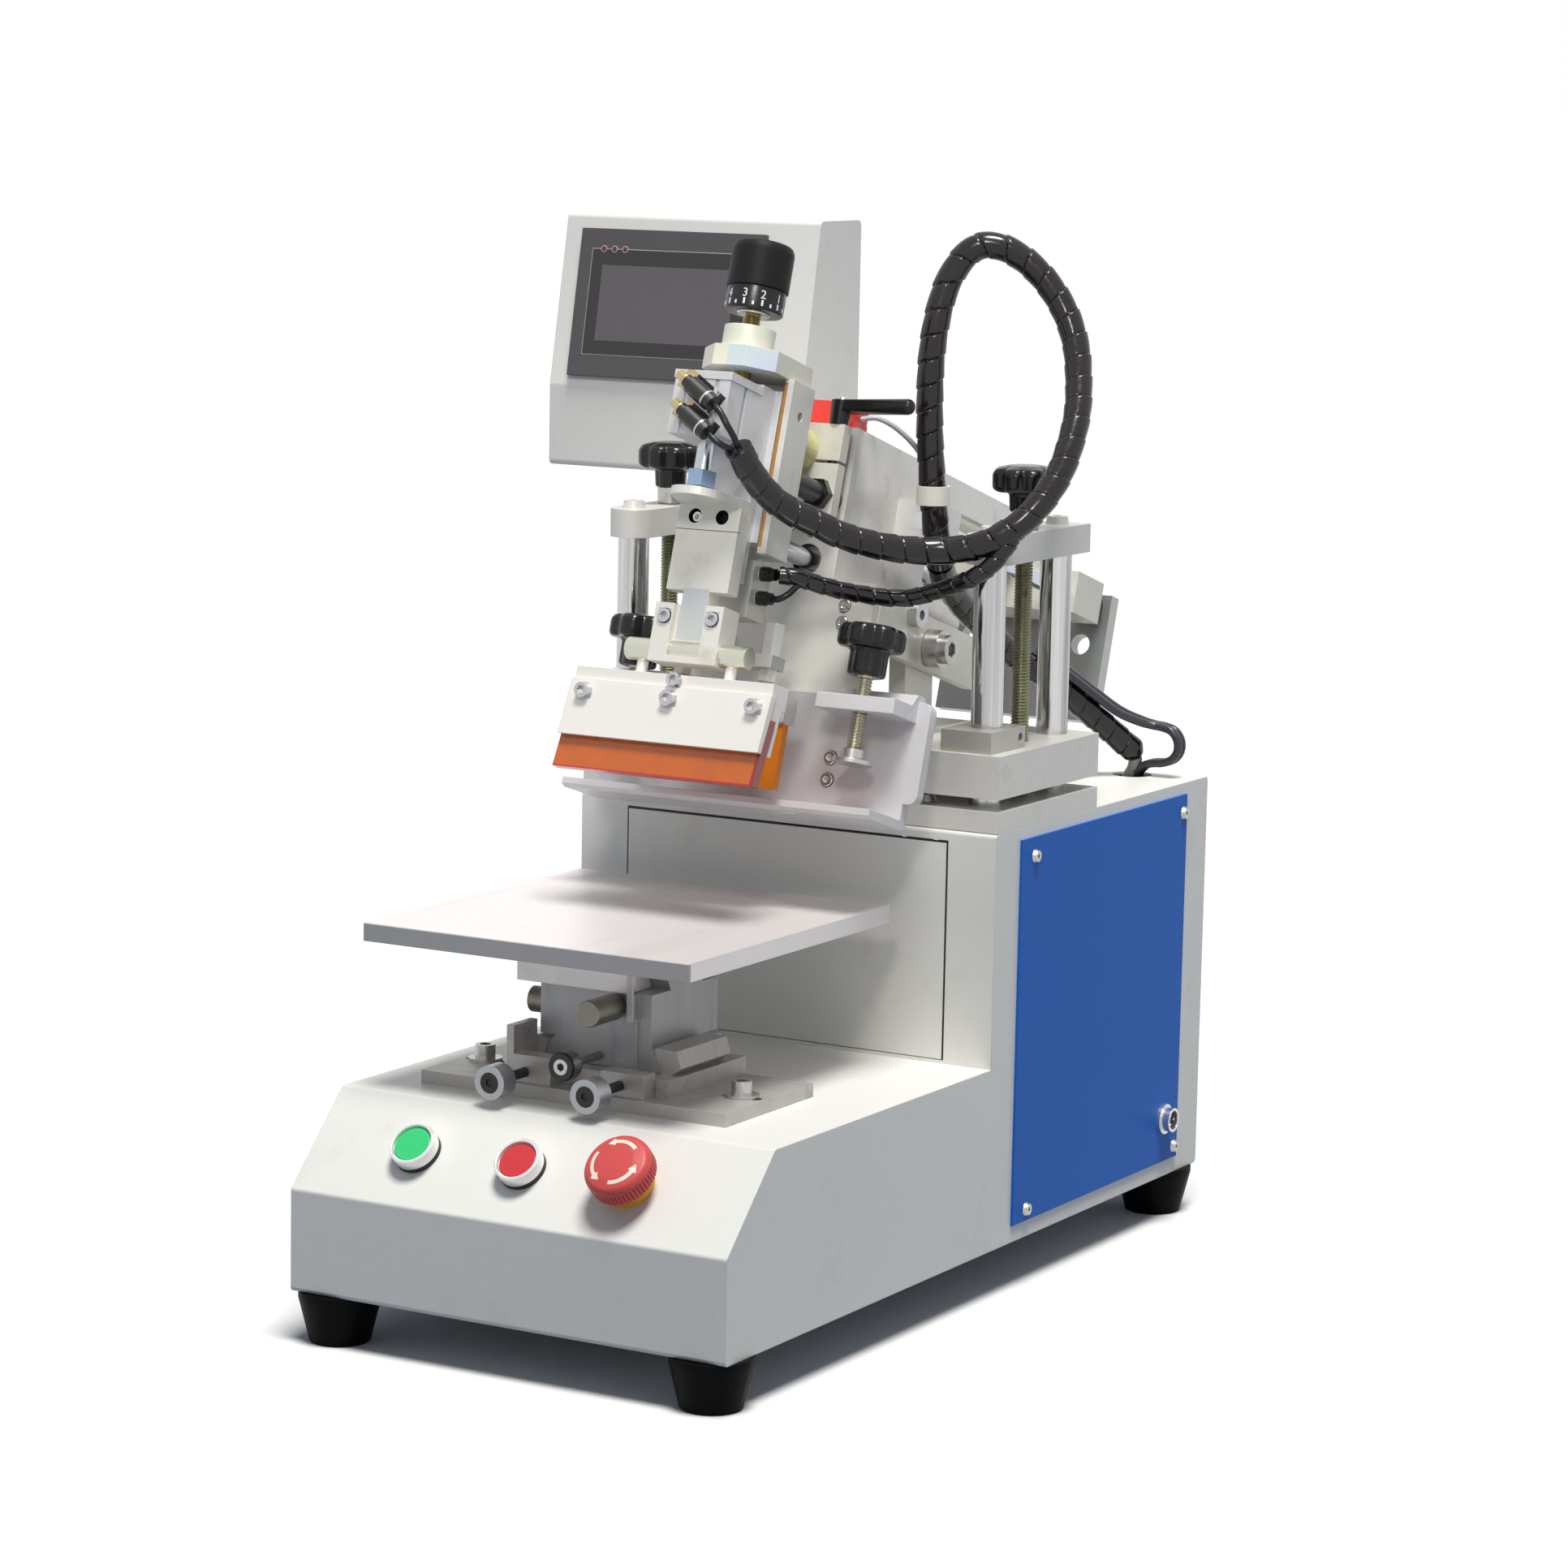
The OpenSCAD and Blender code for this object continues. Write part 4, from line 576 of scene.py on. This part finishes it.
# ---------------------------------------------------------------- milled and cast parts
# Aluminium plates: some are cast and clear coated with a cream tinge, some
# are milled and left bare, and the lower ones are worn and stained with ink.
STEEL = ("#c9c9ca", 0.85, 0.28)
cream = dict(metal=0.18, rough=0.38, spread=0.035, patch=35, grain=0.35, grain_mm=0.5, wear=0.5,
             worn="#f7f6f2", stain="#c9c2b0", stain_mm=22)
dress(finish("pale_cast_alloy", "#dad8d2", **cream),
      "lower_mount_plate", "top_brackets", "lift_plate", "pivot_supports")
# black painted inside the front plate's rod hole and the slide's two pockets: painted shade
painted_hole_shade = ("#0e0e0f", 0.0, 0.5)
dress(finish("front_plate_alloy", "#d8d6d0", **cream, inlays=[
    (ARM, (149.5, -79.3, 25.5), (170.5, -71.7, 46.5), *painted_hole_shade)]), "arm_front_plate")
bushes = [(ARM, (x - 13, -35, 10), (x + 13, -25, 20), "#a98c5a", 0.7, 0.3) for x in (106.9, 193.1)]
pins = [(ARM, (x - 4, -39, 6), (x + 4, -21, 25), "#d3d4d6", 0.9, 0.16) for x in (82.95, 217.05)]
dress(finish("lever_alloy", "#dbd9ce", **cream, inlays=bushes + pins), "arm_levers")
dress(finish("ram_bracket_alloy", "#dddbd0", **cream, inlays=[
    (ARM, (160, -138, 62), (182, -97.15, 86), "#131215", 0.0, 0.3),
    (ARM, (163.5, -87.9, 66.5), (178.5, -79, 81.5), "#131215", 0.0, 0.3)]), "ram_clamp_bracket")
dress(finish("ram_alloy", "#dcdace", **cream, inlays=[
    (ARM, (134, -138.5, 85), (166, -97, 117), "#e3df9c", 0.0, 0.42),
    (ARM, (153, -138.5, 29), (167, 86, 43), "#cdd1d8", 1.0, 0.12)]), "ram_carriage")
dress(finish("pale_frame_alloy", "#d8d6d8", metal=0.2, rough=0.36, patch=30, grain=0.3,
             grain_mm=0.5, edge=0.6, wear=0.5, worn="#f8f6f4"), "screen_holder")
piston = [(ARM, (139, -214, 62.1), (161, -192, 91), "#c4cad2", 1.0, 0.1),
          (ARM, (138, -215, 51.9), (162, -191, 62.1), "#a9c4e4", 0.5, 0.28),
          (ARM, (127, -188, 29.3), (173, -184, 29.8), "#55534c", 0.0, 0.6)]
fork_screws = [(ARM, (x - 4.6, -193.5, -30), (x + 4.6, -186.9, -20.5), *STEEL)
               for x in (133.3, 166.7)]
shaded_slide_pockets = [(ARM, (x - 4.7, -186.6, 33.3), (x + 4.7, -179.8, 42.7), *painted_hole_shade)
               for x in (140, 159)]
tongue = [(ARM, (140.8, -187, -38.2), (159.2, -186.5, -6.5), "#dcdfdf", 0.1, 0.34)]
dress(finish("cream_slide_alloy", "#e8e5dc", **cream,
             inlays=piston + fork_screws + shaded_slide_pockets + tongue), "squeegee_slide")
milled = dict(metal=0.35, rough=0.34, spread=0.04, patch=25, grain=0.4, grain_mm=0.35,
              stretch=(0.12, 1, 1), edge=0.4, wear=0.5, worn="#f6f6f4", stain="#b3ab9b",
              stain_mm=18)
dress(finish("milled_alloy", "#dddbd8", **milled), "arm_side_frames", "stroke_cylinder")
dress(finish("post_clamp_alloy", "#b3b0aa", **milled, inlays=[
    (CABINET, (285.6, 353.7, 284), (291.9, 364.3, 296), *STEEL)]), "post_clamp")
dress(finish("milled_channel_alloy", "#d8d6cf", **milled, inlays=[
    (ARM, (165.2, -145, -7), (176, -133, 20), "#151517", 0.0, 0.4),
    (ARM, (120, -200, 129.5), (180, -136, 157.5), "#eceadb", 0.1, 0.4),
    (ARM, (149, -199, 129.5), (177, -181, 142.6), "#d6e0ea", 0.15, 0.4),
    # a thin brown strip: painted shadow of the gap between the flange and the guide
    (ARM, (173.9, -165.2, 26), (176.2, -163.9, 128), "#b5803f", 0.0, 0.5),
]), "head_channel")
fittings = []
for x, h in ((146.5, 109.5), (146, 92)):
    slanted = at(ARM, (x, -227.4, h), (123, "Y"))
    fittings += [(slanted, (-7, -7, -12), (7, 7, -4), "#c8b488", 0.7, 0.3),
                 (slanted, (-7, -7, -4), (7, 7, 21), "#1b1a1c", 0.0, 0.4),
                 (slanted, (-7, -7, 14.6), (7, 7, 15.8), "#d6d6d6", 0.8, 0.2)]
dress(finish("milled_cylinder_alloy", "#cfd0d2", **milled, inlays=fittings), "squeegee_cylinder")
dress(finish("flood_bar_alloy", "#c6c5c2", **milled, inlays=[
    (ARM, (96, -144, -118), (204, -136, -77), "#df7d1a", 0.0, 0.3)]), "flood_blade_unit")
worn = dict(metal=0.3, spread=0.07, patch=14, grain=0.5, grain_mm=0.5, wear=0.7, worn="#efece8",
            stain="#7b7a7c", stain_mm=12)
dress(finish("worn_base_alloy", "#b9b5b1", **worn, stretch=(0.2, 1, 1)),
      "table_base_plate", "stage_bed", "adjuster_brackets")
dress(finish("oiled_knob_steel", "#7f7c70", metal=0.6, rough=0.32, spread=0.1, patch=8, grain=0.5,
             grain_mm=0.4, wear=0.9, worn="#deddd6"), "stage_lock_knob", "side_feed_knob")
dress(finish("worn_riser_alloy", "#a9a9aa", **worn, stretch=(1, 1, 0.12), inlays=[
    (CABINET, (164.6, 106.8, 164), (169.4, 109.2, 201), "#e6e4e0", 0.1, 0.4)]), "stage_carriage")
table_front = [(CABINET, (0, 0, 205), (300, 45.5, 217.6), "#a3a3a6", 0.3, 0.4)]
dress(finish("ground_table_top", "#ece6e5", metal=0.25, rough=0.33, spread=0.02, patch=60,
             grain=0.3, grain_mm=0.3, stretch=(1, 0.05, 1), wear=0.6, worn="#fbfafa",
             stain="#d6cdca", stain_mm=45, inlays=table_front), "work_table")
jaw_screws = [(at(ARM, (x, -198.1, -75.8), (99.6, "X")), (-5, -5, 0.05), (5, 5, 8), *STEEL)
              for x in (91.5, 151.5, 210.5)]
middle_screw = [(ARM, (146.5, -202, -69.4), (156.5, -195.05, -59.4), *STEEL)]
tilt_bar = [(ARM, (107, -191, -53), (193, -175, -38), "#dbd8ca", 0.85, 0.16)]
dress(finish("pale_anodised_alloy", "#ece8e2", metal=0.15, rough=0.36, spread=0.02, patch=30,
             grain=0.3, grain_mm=0.4, stretch=(0.08, 1, 1), edge=0.4, wear=0.4, worn="#fbfaf8",
             inlays=jaw_screws + middle_screw + tilt_bar), "squeegee_holder")

# ---------------------------------------------------------------- posts and guide rods
# Ground and hard-chromed bars. The posts carry lengthwise streaks of lavender,
# grey and tan, which are painted reflections of the room, and the rods end in a
# bare alloy plate and a black strip.
# the posts' lengthwise colour streaks and their tan stain colour are painted reflections
dress(finish("hard_chrome", "#a5a8b4", metal=1.0, rough=0.12, spread=0.9, patch=5, grain=0.08,
             grain_mm=0.5, stretch=(1, 1, 0.01), edge=0.3, stain="#7c7550", stain_mm=11),
      "guide_posts")
rod_end = [(ARM, (85, 249.4, -2), (215, 262, 90), "#d3d3cd", 0.3, 0.4),
           (ARM, (86.3, 249.4, -2), (213.7, 250.4, 88.7), "#a8a8a7", 0.4, 0.34),
           (ARM, (85, 239.8, 66), (215, 246.1, 90), "#1b1b1d", 0.0, 0.5)]
dress(finish("chromed_guide_rods", "#c3c8d0", metal=1.0, rough=0.1, spread=0.04, patch=20,
             grain=0.08, grain_mm=0.5, edge=0.3, inlays=rod_end), "guide_rods")
dress(bright_steel, "pivot_bolts", "clamp_pad_left", "clamp_pad_right")

# ---------------------------------------------------------------- lifting screws and star knobs
# M12 threaded spindles, dark with old oil, turned by eight-lobed domed black
# knobs, each pinned on a plain steel hub. The real pitch is 1.75 mm and it is
# drawn as 2 mm, so that the turns show.


def threaded(name, radius, pitch, depth, low, high, place, material):
    """A threaded bar: the radius falls by depth and rises again once per pitch, the phase moving
    round with the angle, and fades to a plain rod over the first and last turn."""
    height = np.arange(low, high + pitch / 16, pitch / 8)[:, None]
    around = np.linspace(0, 2 * np.pi, 36, endpoint=False)[None, :]
    phase = (height / pitch - around / (2 * np.pi)) % 1.0
    fade = np.clip(np.minimum(height - low, high - height) / pitch, 0, 1)
    r = radius - depth * fade * (1 - np.abs(2 * phase - 1)) ** 0.8
    height = height * np.ones_like(around)
    r, height = np.vstack([0 * r[:1], r, 0 * r[:1]]), np.vstack([height[:1], height, height[-1:]])
    points = np.stack([r * np.cos(around), r * np.sin(around), height], -1).reshape(-1, 3)
    return surface(name, in_metres(points, place), quads(*r.shape), material, angle=50)


def lobes(count, cut, width, first=0.0):
    """A swell that takes the fraction cut off the radius in count smooth bell-shaped hollows, each
    the given number of degrees wide, fading towards the axis."""
    step = 360 / count

    def swell(turn, r, h):
        off = (np.degrees(turn) - first + step / 2) % step - step / 2
        return 1 - cut * np.clip(r / 18, 0, 1) ** 2 * np.exp(-((off / width) ** 2))

    return swell


black_phenolic = finish("black_phenolic", "#101012", rough=0.2, spread=0.1, patch=15,
                        grain=0.12, grain_mm=1.2, edge=0.4, shine=0.35)
oiled_thread = finish("oiled_threaded_steel", "#8a8a70", metal=0.75, rough=0.33, spread=0.15,
                      patch=9, grain=0.2, grain_mm=0.4, edge=0.1, stain="#45432f", stain_mm=8)
hub_profile = eased([(0, 443.3), (8.5, 443.3), (8.5, 453.8), (0, 453.8)], 0.5)
star_profile = eased([(0, 453.8), (10, 453.8), (10.5, 464.5), (12.5, 465.8), (18.5, 466.1),
                      (21.4, 468.4), (21.5, 477.5), (19.2, 480.8), (10.8, 482.7), (0, 483)], 1.6, 7)
for side, x in (("left", 18), ("right", 276)):
    body, screw = f"{side}_lift_screw", f"lift_screw_{side}"
    spindle_place = at(CABINET, (x, 388.5, 0))
    mount(threaded(f"lift_spindle_{side}", 6, 2, 1.15, 266.5, 443.3, spindle_place, oiled_thread),
          body, "oiled_thread", screw)
    mount(turned(f"lift_hub_{side}", hub_profile, spindle_place, bright_steel),
          body, "oiled_thread", screw)
    mount(turned(f"star_knob_{side}_moulding", star_profile, spindle_place, black_phenolic, 288,
                 lobes(8, 0.125, 9, 22.5)), body, "black_plastic", f"star_knob_{side}")

# ---------------------------------------------------------------- screen clamp screws
# Six-lobed black knobs on nickel-plated M10 spindles that press a swivel pad
# down on the screen frame; their 1.5 mm pitch is drawn as 2 mm, so that it shows.
plated_thread = finish("plated_thread", "#b5b1a0", metal=0.85, rough=0.25, spread=0.1, patch=9,
                       grain=0.2, grain_mm=0.4, edge=0.1, stain="#8d7d52", stain_mm=10)
knob_profile = eased([(0, -38.5), (10.8, -38.5), (12, -37.2), (12, -23.5), (14, -22),
                      (19.4, -21.8), (21, -19.4), (21, -11), (19, -8), (10, -6.6), (0, -6.5)],
                     1.4, 7)
for side, x, drop in (("left", 69, 7), ("right", 231, 0)):
    clamp_place = at(ARM, (x, -108.5, -drop))
    spindle = threaded(f"clamp_spindle_{side}", 5, 2, 1.1, -86, -38.5, clamp_place, plated_thread)
    knob = turned(f"clamp_knob_{side}", knob_profile, clamp_place, black_phenolic, 288,
                  lobes(6, 0.15, 13))
    for piece in (spindle, knob):
        mount(piece, f"{side}_clamp_screw", "black_plastic", f"clamp_screw_{side}")

# ---------------------------------------------------------------- table adjusters
# Two bright smooth thumb screws with a blackened socket screw set in, and
# a ribbed dark knob with a bright socket screw for the depth feed.


def key_hole(flats, hole):
    """A swell that makes the hole of the given radius, and what lies in it, a hexagon: half the
    width across its flats over the cosine of the angle from the nearest flat. The rest is round."""
    def swell(turn, r, h):
        from_flat = (turn + np.pi / 6) % (np.pi / 3) - np.pi / 6
        inside = r < hole + 0.15
        return np.where(inside, flats / 2 / np.cos(from_flat) / hole, 1.0)

    return swell


black_oxide = finish("black_oxide_steel", "#1c1c1e", metal=0.3, spread=0.1, patch=6, grain=0.3,
                     grain_mm=0.4, edge=0.2, wear=0.5, worn="#6e6e70")
insert_profile = [(0, 1.2), (2.4, 1.2), (2.4, 0.6), (2.5, 0.0), (6.1, 0.0), (6.2, 0.5),
                  (6.2, 1.55), (0, 1.55)]
for side, x in (("left", 107), ("right", 173.5)):
    black_shank = [(CABINET, (x - 4, 62.1, 127), (x + 4, 101, 135), "#161617", 0.1, 0.4)]
    dress(finish(f"turned_steel_{side}", "#a2a4a8", metal=0.75, rough=0.3, spread=0.05, patch=6,
                 grain=0.25, grain_mm=0.4, edge=0.4, inlays=black_shank), f"thumb_screw_{side}")
    mount(turned(f"thumb_screw_{side}_insert", insert_profile,
                 at(CABINET, (x, 48.9, 130.8), (-90, "X")), black_oxide, 72, key_hole(4.6, 2.4)),
          f"{side}_thumb_screw", "black_steel")
grip_core = [(CABINET, (131, 68.5, 129), (155, 72, 153), "#131316", 0.0, 0.45)]
dress(finish("feed_stud_steel", "#8f8e8c", metal=0.7, rough=0.32, spread=0.08, patch=6, grain=0.3,
             grain_mm=0.4, edge=0.3, inlays=grip_core), "depth_feed_screw")
ribbed_black = finish("ribbed_black_oxide", "#131316", rough=0.45, spread=0.1, patch=6, grain=0.3,
                      grain_mm=0.4, edge=0.2, shine=0.25)
feed_place = at(CABINET, (143, 70, 141), (-90, "X"))
grip_profile = eased([(0, 0.15), (7.2, 0.15), (8.2, 0.9), (8.75, 1.6), (8.75, 9.4), (8.2, 10.9),
                      (0, 10.95)], 0.4)
mount(turned("depth_feed_grip", grip_profile, feed_place, ribbed_black, 240, ribs(20, 0.035, 8)),
      "depth_feed", "black_steel")
socket_profile = [(0, 0.3), (2.2, 0.3), (2.2, 0.0), (2.6, -0.35), (4.6, -0.35), (5.0, 0.1),
                  (5.0, 0.6), (0, 0.6)]
mount(turned("depth_feed_socket", socket_profile, feed_place, bright_steel, 72, key_hole(4.2, 2.2)),
      "depth_feed", "black_steel")

# ---------------------------------------------------------------- socket head screws
# Stainless screws with a hexagon socket that hold the plates of the arm; each
# sits in its own counterbore, and one bright screw caps the clamp lever.


def cap_head(name, place, radius, tall, body="arm"):
    """A round screw head: a short drum with an eased rim, and a hexagonal hole with its corners at
    0.47 of the drum's radius and its floor at 0.45 of the height."""
    hole, floor = 0.45 * radius, 0.45 * tall
    profile = [(0, floor), (hole, floor), (hole, tall - 0.25), (hole + 0.25, tall),
               (radius - 0.5, tall), (radius, tall - 0.5), (radius, 0), (0, 0)]
    mount(turned(name, profile, place, stainless, 72, key_hole(1.8 * hole, hole)),
          body, "steel_screws")


stainless = finish("stainless_screws", "#c6c6c6", metal=0.9, rough=0.24, spread=0.06, patch=5,
                   grain=0.25, grain_mm=0.4, edge=0.2)
for k, (x, h) in enumerate(((192, 9), (192, -2), (108, 9), (108, -2))):
    cap_head(f"front_plate_screw_{k + 1}", at(ARM, (x, -74.9, h), (90, "X")), 4.1, 5.4)
for k, (x, h) in enumerate(((130, 60), (145, 57), (160, 54))):
    cap_head(f"bracket_foot_screw_{k + 1}", at(ARM, (x, -75.9, h), (90, "X")), 3.6, 4.6)
for k, (x, h) in enumerate(((204.5, -87.3), (204.5, -101), (95.5, -87.3), (95.5, -101))):
    cap_head(f"holder_screw_{k + 1}", at(ARM, (x, -83.9, h), (90, "X")), 4.3, 5.2)
cap_head("slide_pocket_screw", at(ARM, (140, -179.9, 38), (90, "X")), 3.5, 4.4, "squeegee")
cap_head("lever_top_screw", at(ARM, (174, -92.5, 134)), 4.2, 2.6, "ram_lever")

# ---------------------------------------------------------------- height dial
# Smooth matt black cap over a black collar with white figures and strokes, on
# a brass-coloured threaded rod; a pale washer closes the collar from below.
DIAL = at(ARM, (150, -176, 0))
COLLAR_RADIUS = 18.1
matt_black = finish("matt_black_cap", "#19181a", rough=0.5, spread=0.05, patch=12, grain=0.3,
                    grain_mm=0.7, shine=0.15)
satin_black = finish("satin_black_collar", "#17171b", rough=0.25, spread=0.06, patch=10,
                     grain=0.1, edge=0.3, shine=0.35)
white_ink = finish("white_scale_ink", "#ececf0", rough=0.5, spread=0.02, patch=5, grain=0.05,
                   edge=0.02)
brass_thread = finish("olive_brass_thread", "#8f8450", metal=0.7, rough=0.3, spread=0.15, patch=8,
                      grain=0.2, grain_mm=0.4, edge=0.1, stain="#4a4627", stain_mm=7)
cap_profile = eased([(0, 181.2), (19, 181.2), (19.2, 182.2), (19.2, 206), (17.2, 210), (0, 210.6)],
                    2.2, 8)
collar_profile = eased([(0, 167), (17.4, 167), (COLLAR_RADIUS, 167.8), (COLLAR_RADIUS, 181.2),
                        (0, 181.2)], 0.4)
washer_profile = eased([(0, 165.6), (9.5, 165.6), (10.5, 166.9), (0, 167)], 0.3)
for piece in (
    turned("dial_cap", cap_profile, DIAL, matt_black, 120),
    turned("dial_collar", collar_profile, DIAL, satin_black, 120),
    turned("dial_washer", washer_profile, DIAL, bright_steel),
    threaded("dial_spindle", 5, 1.0, 0.5, 112, 165.6, DIAL, brass_thread),
):
    mount(piece, "dial", "black_plastic", "height_dial")


def wrapped(flat, turn, base):
    """Flat (x, height, thickness) points laid round the collar, just clear of it: the angle
    grows by x over the collar's radius."""
    bend = math.radians(turn) + flat[:, 0] / COLLAR_RADIUS
    r = 18.12 + flat[:, 2]
    return np.stack([r * np.cos(bend), r * np.sin(bend), base + flat[:, 1]], 1)


block_faces = ((1, 3, 5, 7), (0, 6, 4, 2), (0, 2, 3, 1), (2, 4, 5, 3), (4, 6, 7, 5), (6, 0, 1, 7))
scale_points, scale_faces = [], []
for figure in range(10):
    angle = 26.5 - 36 * figure
    drawn = bpy.data.curves.new("figure", "FONT")
    drawn.body = str(figure)
    drawn.size = 7.4
    drawn.align_x = "CENTER"
    drawn.extrude = 0.06
    stencil = bpy.data.objects.new("figure", drawn)
    bpy.context.scene.collection.objects.link(stencil)
    shaped = stencil.evaluated_get(bpy.context.evaluated_depsgraph_get())
    flat_mesh = bpy.data.meshes.new_from_object(shaped)
    bpy.data.objects.remove(stencil)
    corners = np.array([v.co for v in flat_mesh.vertices])
    corners[:, 2] += 0.12
    offset = sum(len(p) for p in scale_points)
    scale_faces += [[offset + i for i in f.vertices] for f in flat_mesh.polygons]
    scale_points.append(wrapped(corners, angle, 173.4))
    for shift, tall in ((0.0, 3.6), (18.0, 2.2)):
        front_corners = ((-0.65, 0), (0.65, 0), (0.65, tall), (-0.65, tall))
        stroke = np.array([(x, h, d) for x, h in front_corners for d in (-0.1, 0.12)])
        offset = sum(len(p) for p in scale_points)
        scale_faces += [[offset + i for i in f] for f in block_faces]
        scale_points.append(wrapped(stroke, angle + shift, 168.9))
figures = surface("dial_figures", in_metres(np.vstack(scale_points), DIAL), scale_faces, white_ink)
mount(figures, "dial", "black_plastic")

# ---------------------------------------------------------------- blade, lever, sensor and clip
# Cast polyurethane blade, clear amber, with its bottom edge painted red and its
# right end dark red: the deeper colour that light takes through the blade's
# thickness, painted on. Black lever, red sensor block and a natural nylon clip
# for the hose.
# the red bottom edge and dark red end are painted colour of light passing through the blade's
# thickness
red_edges = [(ARM, (79, -204, -126), (221, -192, -123), "#cf2f2c", 0.0, 0.22),
             (ARM, (217.5, -204, -126), (221, -180, -80), "#9c2a22", 0.0, 0.22)]
dress(finish("amber_polyurethane", "#c25d1a", rough=0.22, spread=0.14, patch=30, grain=0.06,
             edge=0.4, coat=0.3, inlays=red_edges), "squeegee_blade")
dress(black_phenolic, "clamp_lever")
dress(finish("natural_nylon", "#f1eee2", rough=0.45, spread=0.02, patch=8, grain=0.15,
             grain_mm=0.8, edge=0.4), "hose_clip")
dress(finish("sensor_red_plastic", "#e8433a", spread=0.04, patch=8, grain=0.2, grain_mm=0.8,
             edge=0.4), "proximity_sensor")

# ---------------------------------------------------------------- floor and light
# A plain pale floor under the feet, one broad soft light nearly overhead, a
# soft spot from the front on the head and console, and a slightly cool room.
floor_mesh = bpy.data.meshes.new("floor")
ground, reach = -0.2493, 40
floor_corners = [(-reach, -reach, ground), (reach, -reach, ground), (reach, reach, ground),
                 (-reach, reach, ground)]
floor_mesh.from_pydata(floor_corners, [], [(0, 1, 2, 3)])
floor = bpy.data.objects.new("floor", floor_mesh)
bpy.context.scene.collection.objects.link(floor)


def backdrop(owner, plain, pale):
    """The plain colour, or the pale one where an eye, a gloss or a glass sees the surface."""
    ray = wire(owner, "LightPath").outputs
    seen = ray["Is Camera Ray"]
    for kind in ("Is Glossy Ray", "Is Transmission Ray"):
        seen = wire(owner, "Math", {"operation": "MAXIMUM"}, i0=seen, i1=ray[kind]).outputs[0]
    return wire(owner, "Mix", {"data_type": "RGBA"}, i0=seen, i6=plain, i7=pale).outputs[2]


paper = bpy.data.materials.new("white_paper_floor")
paper.use_nodes = True
sheet = paper.node_tree.nodes["Principled BSDF"]
paper_tone = backdrop(paper, (0.17, 0.2, 0.245, 1), (0.86, 0.86, 0.86, 1))
paper.node_tree.links.new(paper_tone, sheet.inputs["Base Color"])
sheet.inputs["Roughness"].default_value = 0.9
sheet.inputs["Specular IOR Level"].default_value = 0.0
floor_mesh.materials.append(paper)

key_data = bpy.data.lights.new("overhead_softbox", "SUN")
key_data.energy = 3.35
key_data.color = (1.0, 0.985, 0.95)
key_data.angle = math.radians(20)
key = bpy.data.objects.new("overhead_softbox", key_data)
key.rotation_mode = "QUATERNION"
key.rotation_quaternion = Vector((0.19, -0.16, 0.968)).to_track_quat("Z", "Y")
bpy.context.scene.collection.objects.link(key)

front_data = bpy.data.lights.new("front_spot", "SPOT")
front_data.energy = 105
front_data.color = (1.0, 0.965, 0.92)
front_data.shadow_soft_size = 0.3
front_data.spot_size = math.radians(17)
front_data.spot_blend = 0.7
front = bpy.data.objects.new("front_spot", front_data)
front.location = (0.70, -1.51, 1.56)
front.rotation_mode = "QUATERNION"
front.rotation_quaternion = (front.location - Vector((-0.03, 0.14, 0.30))).to_track_quat("Z", "Y")
bpy.context.scene.collection.objects.link(front)

room = bpy.data.worlds.new("room")
room.use_nodes = True
bpy.context.scene.world = room
sky = backdrop(room, (0.17, 0.19, 0.22, 1), (1, 1, 1, 1))
room.node_tree.links.new(sky, room.node_tree.nodes["Background"].inputs["Color"])
bpy.context.scene.view_settings.view_transform = "Standard"
